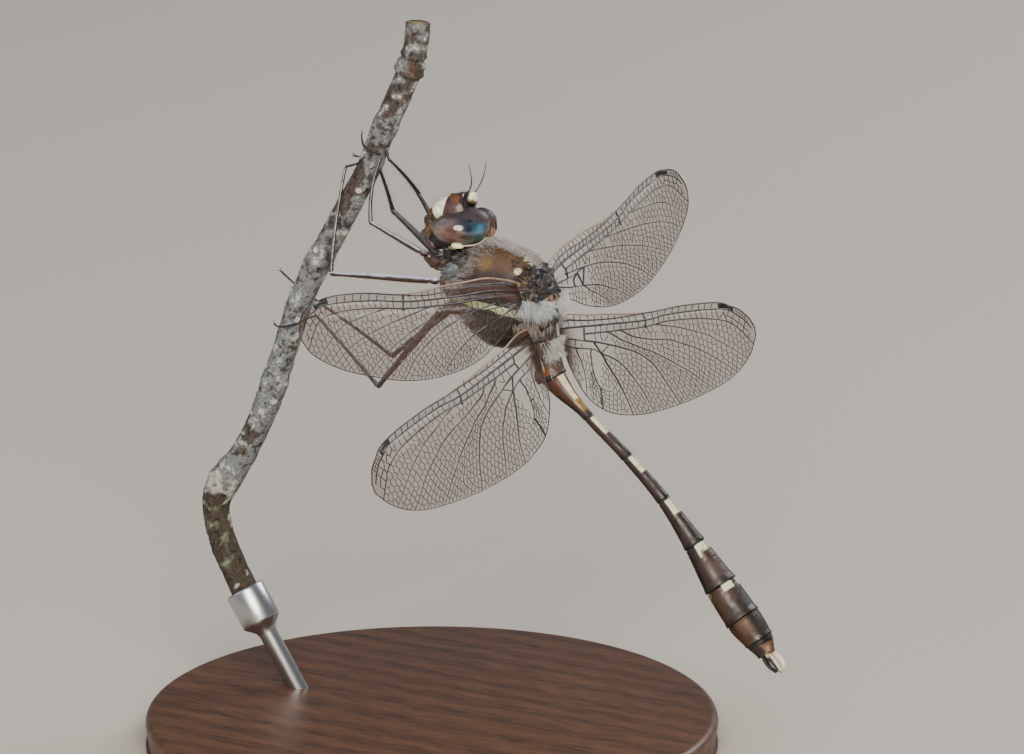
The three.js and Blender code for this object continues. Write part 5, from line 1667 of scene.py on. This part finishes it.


# bloom and share are the colour and strength of the painted highlight on the faces that look up.
def leg_part(name, path, wide, high, upward, dark, replaced, around=22, under="#8a5420",
             bloom="#8d8c9b", share=0.3, seed=1.0):
    """One swept joint of a leg, painted and then made a little uneven."""
    points, faces = sweep(path, wide, high, around, upward)
    tints = leg_tints(path, points, dark, under, bloom, share, around, seed)
    outward = unit(points - np.vstack([np.repeat(path, around, axis=0), path[:1], path[-1:]]) + 1e-6)
    points = points + 0.012 * roughness_of(points, 0.35, seed, 2)[:, None] * outward
    make(name, (points, faces, tints), PART, leg_finish, replaced)


# %% [markdown]
# Each leg is swept joint by joint: a swollen hip, a flattened thigh with a ring at its
# root and a wider knee, a slim bowed shin, and toes that end in two hooked claws.

# %% Hips, thighs, shins and toes
leg_lines = {}
near_toe = twig_path[::-1]
for number, (name, leg) in enumerate(LEGS.items()):
    socket, hip, knee = move([leg["socket"], leg["hip"], leg["knee"]], ANIMAL)
    grips = [beside_twig(*spot) for spot in [leg["shin"]] + leg["foot"]]
    ankle, girth = grips[0], leg["girth"]
    bow = np.array(ANIMAL)[:3, :3] @ np.asarray(leg["bow"], float)
    plane = unit(np.cross(knee - hip, ankle - knee))
    out_to_knee, out_to_ankle = unit(knee - hip), unit(ankle - knee)

    cone = between_points(socket, hip + out_to_knee * 0.1, 20)
    swell = 0.52 + 0.34 * np.linspace(1, 0, 20) ** 1.2
    leg_part(f"hip_{name}_shell", cone, swell * rounded(20, 0.2, 0.4), None, plane, "#4a2c1c",
             [f"coxa_{name}"], around=26, under="#7a4a22", seed=number + 0.1)

    start = hip + out_to_knee * 0.05
    thigh = between_points(start, knee + out_to_knee * 0.18, 90)
    t = np.linspace(0, 1, 90)
    ring = 0.10 * bell(t - 0.045, 0.02) - 0.10 * bell(t - 0.095, 0.012)
    wide = girth * (0.86 + 0.2 * bell(t - 0.3, 0.28) - 0.28 * t ** 2 + 0.12 * bell(t - 0.965, 0.03)) + ring
    ends = rounded(90, 0.03, 0.35)
    leg_part(f"thigh_{name}_shell", thigh, 0.86 * wide * ends, wide * ends, plane, "#3a2218",
             [f"femur_{name}"], seed=number + 0.3, bloom="#d8dcec", share=leg["bloom"])

    shin = between_points(knee + out_to_ankle * 0.05, ankle, 90, bow)
    thin = 0.215 - 0.075 * t + 0.05 * bell(t, 0.05) + 0.03 * bell(t - 1, 0.04)
    leg_part(f"shin_{name}_shell", shin, thin * rounded(90, 0.02, 0.4), None, plane, "#24140f",
             [f"tibia_{name}"], seed=number + 0.5, bloom="#c8c2cc", share=leg["bloom"])

    toes = spline(grips, 70)
    t = np.linspace(0, 1, 70)
    slim = 0.135 - 0.03 * t - 0.045 * (bell(t - 0.16, 0.02) + bell(t - 0.42, 0.02))
    shapes = [sweep(toes, slim * rounded(70, 0.03, 0.4), None, 14, plane)]
    onward = unit(toes[-1] - toes[-4])
    hook = unit(read_line(near_toe, near_toe[:, 2], grips[-1][2]) - grips[-1])
    apart = unit(np.cross(onward, hook))
    for side in (-1, 1):
        claw = spline([toes[-2], toes[-1] + onward * 0.2 + apart * side * 0.16,
                       toes[-1] + onward * 0.34 + hook * 0.1 + apart * side * 0.28,
                       toes[-1] + onward * 0.36 + hook * 0.3 + apart * side * 0.3], 14)
        shapes.append(sweep(claw, 0.055 * (1 - 0.85 * np.linspace(0, 1, 14)), None, 8, plane))
    make(f"toes_{name}_shell", dyed(joined(shapes), "#1c110d"), PART, leg_finish,
         [f"tarsus_{name}"])
    leg_lines[name] = (thigh, wide, shin, thin, plane)
print("legs:", len(leg_lines))

# %% [markdown]
# The spines stand in two rows along the inner side of the thigh and of the shin, and
# lean towards the foot. Geometry Nodes puts a slim cone on each of their roots: the
# root point carries its direction and its length.

# %% Spines by Geometry Nodes
spine_tree, given = new_tree("spines", ("Sides", 'NodeSocketInt', 5), ("Thickness", 'NodeSocketFloat', 0.03))
aim = add(spine_tree, 'GeometryNodeInputNamedAttribute', {'Name': "aim"}, data_type='FLOAT_VECTOR')
size = add(spine_tree, 'GeometryNodeInputNamedAttribute', {'Name': "size"}, data_type='FLOAT')
cone = add(spine_tree, 'GeometryNodeMeshCone', {
    'Vertices': given['Sides'], 'Side Segments': 1, 'Radius Top': 0.002,
    'Radius Bottom': given['Thickness'], 'Depth': 1.0})
turned_to = add(spine_tree, 'FunctionNodeAlignRotationToVector', {'Vector': aim.outputs['Attribute']},
                axis='Z')
thorns = add(spine_tree, 'GeometryNodeInstanceOnPoints', {
    'Points': given['Geometry'], 'Instance': cone.outputs['Mesh'],
    'Rotation': turned_to.outputs['Rotation'], 'Scale': size.outputs['Attribute']})
close_tree(spine_tree, thorns.outputs['Instances'], leg_finish)

random = np.random.default_rng(5)
roots, aims, sizes = [], [], []
for name, (thigh, wide, shin, thin, plane) in leg_lines.items():
    fold = unit(shin[-1] - shin[0] + thigh[0] - thigh[-1])
    for path, girths, count, low, length in ((thigh, wide, 13, 0.3, 0.5), (shin, thin, 17, 0.06, 0.85)):
        along, onward = np.linspace(0, 1, len(path)), unit(path[-1] - path[0])
        for row_side in (-1, 1):
            out = unit(np.cross(np.cross(onward, fold), onward) * 0.75 + plane * row_side)
            for t in np.linspace(low, 0.97, count) + random.uniform(-0.012, 0.012, count):
                roots.append(read_line(path, along, t) + out * np.interp(t, along, girths) * 0.82)
                aims.append(unit(out + onward * random.uniform(0.55, 0.85)))
                sizes.append(length * random.uniform(0.75, 1.1) * (1.0 - 0.35 * t))
source = edge_source("spine_roots", roots, [], size=np.array(sizes) * MM)
source.data.attributes.new("aim", 'FLOAT_VECTOR', 'POINT').data.foreach_set("vector", np.ravel(aims))
source.data.attributes.new("tint", 'FLOAT_COLOR', 'POINT').data.foreach_set(
    "color", np.tile([*linear("#120b09"), 1.0], len(roots)))
spines = grown("leg_spines", source, spine_tree, leg_finish, "horn_black", Sides=5)
print("spines:", len(roots), "with", len(spines.data.polygons), "faces")

# %% [markdown]
# ### The down
# A dragonfly's thorax is furry. Pale hairs stand along the ridge of its back, between
# the leg bases and the neck, and in a thick tuft behind the hind wings; a cold insect
# needs the coat for its flight muscles. Every hair is a solid, tapering, curved spike
# of three sides. They grow in tufts of a few hairs that share a root and a lie. The
# roots are strewn over a skin by area and by a weight that says where the down is,
# and the tufts lean from the skin's normal towards the lie. Each tuft's own patch on
# the second UV map lies at its root's place on an unwrap of the skin.

# %% Tufts and solid hairs
down_finish, tree, surface = shader("silky_down", Roughness=0.42, Specular_IOR_Level=0.5, Sheen_Weight=0.3)
wire(tree, surface, Base_Color=add(tree, 'ShaderNodeAttribute', attribute_name="tint").outputs['Color'])
PATCH = 0.003                                 # width of a tuft's place on the UV map
HAIR_STEPS = np.array([0.0, 0.34, 0.7, 1.0])  # rings of a hair, as shares of its length


def strewn(points, faces, weight, count, random):
    """Random places on a skin, denser where weight is high: positions and normals."""
    quads = np.array([face for face in faces if len(face) == 4])
    corner = points[quads]
    cross = np.cross(corner[:, 2] - corner[:, 0], corner[:, 3] - corner[:, 1])
    area = np.linalg.norm(cross, axis=1) * weight[quads].mean(axis=1)
    chosen = random.choice(len(quads), count, p=area / area.sum())
    a, b = random.random((2, count, 1))
    at = corner[chosen]
    place = (at[:, 0] * (1 - a) + at[:, 1] * a) * (1 - b) + (at[:, 3] * (1 - a) + at[:, 2] * a) * b
    outward = np.sign(((corner.mean(axis=1) - points.mean(axis=0)) * cross).sum())
    return place, unit(cross[chosen]) * outward


def hairs(name, roots, normals, lie, lift, length, girth, codes, place, strands, seed):
    """Tufts of solid hairs. lie and lift give their lean; length and girth are in mm."""
    random = np.random.default_rng(seed)
    count = len(roots)
    lie = unit(np.broadcast_to(np.asarray(lie, float), roots.shape))
    lie = unit(lie - normals * (lie * normals).sum(axis=1, keepdims=True) + 1e-6)
    lean = unit(normals * lift + lie * (1 - lift) + random.normal(0, 0.12, roots.shape))
    tone = random.random(count) + 0.25 * roughness_of(roots, 0.8, seed, 2)
    shades = read_line(np.array([linear(code) for code in codes]), np.linspace(0, 1, len(codes)), tone)
    centre = roots.mean(axis=0)
    turn = np.arctan2(roots[:, 2] - centre[2], roots[:, 0] - centre[0])
    chart = np.stack([0.5 + 0.46 * turn / np.pi, np.clip(0.5 + roots[:, 1] / 9, 0.02, 0.98)], -1)
    rings, uvs, tints = [], [], []
    for _ in range(strands):
        size = length * random.uniform(0.6, 1.15, (count, 1))
        own = unit(lean + random.normal(0, 0.35, roots.shape) * 0.5)
        droop = unit(lie + random.normal(0, 0.25, roots.shape))
        start = roots + unit(np.cross(normals, random.normal(0, 1, roots.shape))) * girth * 1.5
        side = unit(np.cross(own, random.normal(0, 1, roots.shape)))
        other = np.cross(own, side)
        for share in HAIR_STEPS:
            spine_at = start - normals * 0.03 + size * (own * share + droop * 0.28 * share ** 2)
            thick = girth * (1 - 0.9 * share)
            for j in range(3):
                angle = 2 * np.pi * j / 3
                rings.append(spine_at + thick * (side * math.cos(angle) + other * math.sin(angle)))
                uvs.append(chart + PATCH * (np.array([j / 2, share]) - 0.5))
                tints.append(shades * (0.62 + 0.38 * share))
    points, coords, colours = [np.stack(rows, axis=1).reshape(-1, rows[0].shape[1])
                               for rows in (rings, uvs, tints)]
    per = 3 * len(HAIR_STEPS)
    pattern = [(3 * i + j, 3 * i + (j + 1) % 3, 3 * i + 3 + (j + 1) % 3, 3 * i + 3 + j)
               for i in range(len(HAIR_STEPS) - 1) for j in range(3)]
    pattern += [(2, 1, 0), (per - 3, per - 2, per - 1)]
    faces = [tuple(k * per + index for index in face) for k in range(count * strands) for face in pattern]
    piece = make(name, (points, faces, np.clip(colours, 0, 1)), place, down_finish)
    corner_point = np.empty(len(piece.data.loops), int)
    piece.data.loops.foreach_get("vertex_index", corner_point)
    piece.data.uv_layers.new(name="OFBake").uv.foreach_set("vector", coords[corner_point].ravel())
    print(name, count, "tufts,", len(faces), "faces")


def coat(name, skin, weight, count, lie, lift, length, girth, codes, seed, strands=3, place=ANIMAL,
         away=None):
    """Strews tufts over a skin and grows them; they stand along its normals, or away
    from a given point."""
    roots, normals = strewn(*skin, weight, count, sowing)
    if away:
        normals = unit(roots - np.array(away))
    hairs(name, roots, normals, lie, lift, length, girth, codes, place, strands, seed)


# %% [markdown]
# Each coat of down is a weight over a skin, a lie, a lean, a length and a few tones
# from root shade to tip light. The coats are sown one after another from one random
# source, so their order matters.

# %% Down of the thorax
sowing = np.random.default_rng(8)
thorax = (thorax_skin, thorax_faces)
x, y, z = thorax_skin.T
w = np.abs(y)
ridge = smoothstep(1.25, 0.35, w) * smoothstep(-1.3, -2.0, x) * smoothstep(-3.2, -1.6, z)
coat("down_of_the_back_ridge", thorax, ridge, 1500, (1.0, 0, -0.12), 0.42, 0.85, 0.022,
     ["#7d7470", "#b9b2b0", "#e2dfe0"], seed=1)

front = smoothstep(-3.9, -5.2, x) * smoothstep(-9.2, -7.5, z) * (1 - 0.7 * smoothstep(-3.0, -1.0, z))
low = smoothstep(-5.0, -7.5, z) * smoothstep(1.5, -2.5, x) * 0.35
coat("down_of_the_front_and_leg_bases", thorax, front + low, 2300, (-0.3, 0, -1.0), 0.55, 0.75, 0.02,
     ["#4d443f", "#8b837f", "#bcb8b8"], seed=2)

upper_edge = z - 0.55 * (x - 1.6)
clumps = smoothstep(-0.3, 0.2, roughness_of(thorax_skin, 0.7, 19.0, 2))
behind = (smoothstep(0.6, 1.2, x) * smoothstep(3.9, 3.2, x) * smoothstep(0.15, -0.25, upper_edge)
          * smoothstep(-1.7, -1.0, upper_edge) * smoothstep(0.15, 0.5, w))
coat("tuft_behind_the_wings", thorax, behind * clumps, 1300, (0.9, 0, -0.55), 0.42, 0.95, 0.028,
     ["#8f989c", "#ccd6d8", "#f4f9fa"], seed=3)

under = (smoothstep(2.0, 2.8, x) * smoothstep(-1.0, -1.6, upper_edge) * smoothstep(-4.4, -3.6, upper_edge)
         * smoothstep(0.2, 0.6, w) * clumps)
coat("brown_down_below_the_tuft", thorax, under, 330, (0.8, 0, -0.7), 0.5, 0.75, 0.02,
     ["#4d4038", "#8d8073", "#c9c4bc"], seed=6)

first_rings = joined(ring_shells[:2])[:2]
rx, ry, rz = first_rings[0].T
on_top = smoothstep(1.65, 0.7, np.abs(ry)) * (rz > -4.3 + 0.35 * (6.5 - rx)) * smoothstep(7.5, 6.6, rx)
coat("down_of_the_first_rings", first_rings, on_top + 0.012, 560, (1, 0, -0.25), 0.34, 0.7, 0.022,
     ["#8c8a84", "#c9cbc8", "#eef0ee"], seed=7)

sparse = (smoothstep(-0.2, 0.2, roughness_of(thorax_skin, 2.0, 5.0)) * 0.3 + 0.25
          + 1.5 * smoothstep(-4.8, -6.6, z))
coat("short_down_of_the_thorax", thorax, sparse * (1 - between_wings), 1500, (0.9, 0, -0.6), 0.5, 0.38, 0.011,
     ["#42352d", "#766a61"], seed=4, strands=2)

# %% [markdown]
# On the neck, the nape and the face the hairs stand away from a point inside the
# body, since these skins are made of several pads.

# %% Down of the neck and bristles of the head
coat("down_of_the_neck", neck[:2], smoothstep(-7.4, -6.6, neck[0][:, 0]) + 0.5, 1500, (-0.2, 0, -1.0), 0.6,
     0.62, 0.018, ["#3f3734", "#7d7674", "#aaa8ab"], seed=5, away=(-5.6, 0, -4.2))
coat("fringe_of_the_nape", nape, smoothstep(-0.3, 0.2, nape[0][:, 0]), 160, (0.3, 0, 1.0), 0.7, 0.6, 0.02,
     ["#8c8484", "#d8d4d6", "#f6f3f4"], seed=8, place=HEAD, away=(-1.5, 0, 0.6))

bristle_on = smoothstep(2.2, 3.0, face_row) * smoothstep(10.5, 10.0, face_row) * (front_share > 0.2)
open_face = [face for face in grid_faces(face_rows, face_around) if len(face) == 4]
coat("bristles_of_the_face", (face_points[:-2], open_face), bristle_on, 170, (-0.2, 0, 0.6), 0.9, 0.55, 0.009,
     ["#1d1613", "#3a2c24"], seed=9, strands=1, place=HEAD, away=(-3.4, 0, 0.4))

# %% [markdown]
# The stage is a plain pale floor under soft lamps. One large lamp stands high on the
# right, where it draws the bright line along the abdomen and the spot on the eye, and
# two weaker ones open the shadows. The camera looks down on the insect's left side
# from a little behind, through a long lens.

# %% Floor, lamps and camera
pale, _, _ = shader("pale_studio_floor", Roughness=0.9, Base_Color=rgba("#b9b2a8"))
floor_mesh = bpy.data.meshes.new("floor")
floor_mesh.from_pydata([(-4, -4, 0), (4, -4, 0), (4, 4, 0), (-4, 4, 0)], [], [(0, 1, 2, 3)])
floor_mesh.materials.append(pale)
floor = bpy.data.objects.new("floor", floor_mesh)
bpy.context.scene.collection.objects.link(floor)
floor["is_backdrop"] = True

azimuth, elevation = math.radians(30), math.radians(15.5)
right = Vector((math.cos(azimuth), math.sin(azimuth), 0))
back = Vector((math.sin(azimuth) * math.cos(elevation), -math.cos(azimuth) * math.cos(elevation),
               math.sin(elevation)))
above = back.cross(right)
hinges = Vector(HINGES) * MM


def lamp(name, toward_right, toward_up, toward_back, distance, width, height, watts, tone):
    """A soft lamp, placed by how far it stands to the camera's right, up and back."""
    heading = (right * toward_right + above * toward_up + back * toward_back).normalized()
    data = bpy.data.lights.new(name, 'AREA')
    data.shape = 'ELLIPSE'
    data.size, data.size_y = width, height
    data.energy = watts
    data.color = linear(tone)
    light = bpy.data.objects.new(name, data)
    light.location = hinges + heading * distance
    light.rotation_euler = heading.to_track_quat('Z', 'Y').to_euler()
    bpy.context.scene.collection.objects.link(light)


lamp("key", 0.04, 0.22, 0.96, 0.8, 0.48, 0.66, 11.0, "#fff4e6")
lamp("fill", -0.8, 0.7, 0.3, 0.8, 1.2, 1.2, 2.6, "#e9f0ff")
lamp("rim", 0.6, 0.7, -0.4, 0.8, 0.4, 0.4, 4.0, "#ffffff")
world = bpy.data.worlds.new("studio")
world.use_nodes = True
sky = world.node_tree.nodes['Background'].inputs
sky['Color'].default_value, sky['Strength'].default_value = rgba("#cfd6e0"), 0.3
bpy.context.scene.world = world

camera_data = bpy.data.cameras.new("camera")
camera_data.sensor_width = 36.0
distance_mm, view_width_mm = 700.0, 104.5
camera_data.lens = distance_mm * camera_data.sensor_width / view_width_mm
camera_data.clip_end = 20.0
camera = bpy.data.objects.new("camera", camera_data)
target = hinges + (right * -2.19 + above * -9.65) * MM
camera.location = target + back * distance_mm * MM
camera.rotation_euler = back.to_track_quat('Z', 'Y').to_euler()
bpy.context.scene.collection.objects.link(camera)
bpy.context.scene.camera = camera
print("camera height above the floor, m:", round(camera.location.z, 3))

# %% Last checks and finish
model_box = [[float(v) for v in corner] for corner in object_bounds()]
margins = [[round((model_box[k][j] - cad_box[k][j]) / MM, 2) for j in range(3)] for k in (0, 1)]
print("visual box minus CAD box, mm:", margins)
faces_made = {piece.name: sum(len(p.vertices) - 2 for p in piece.data.polygons) for piece in pieces}
print(len(pieces), "pieces,", sum(faces_made.values()), "triangles; most:",
      max(faces_made, key=faces_made.get), max(faces_made.values()))
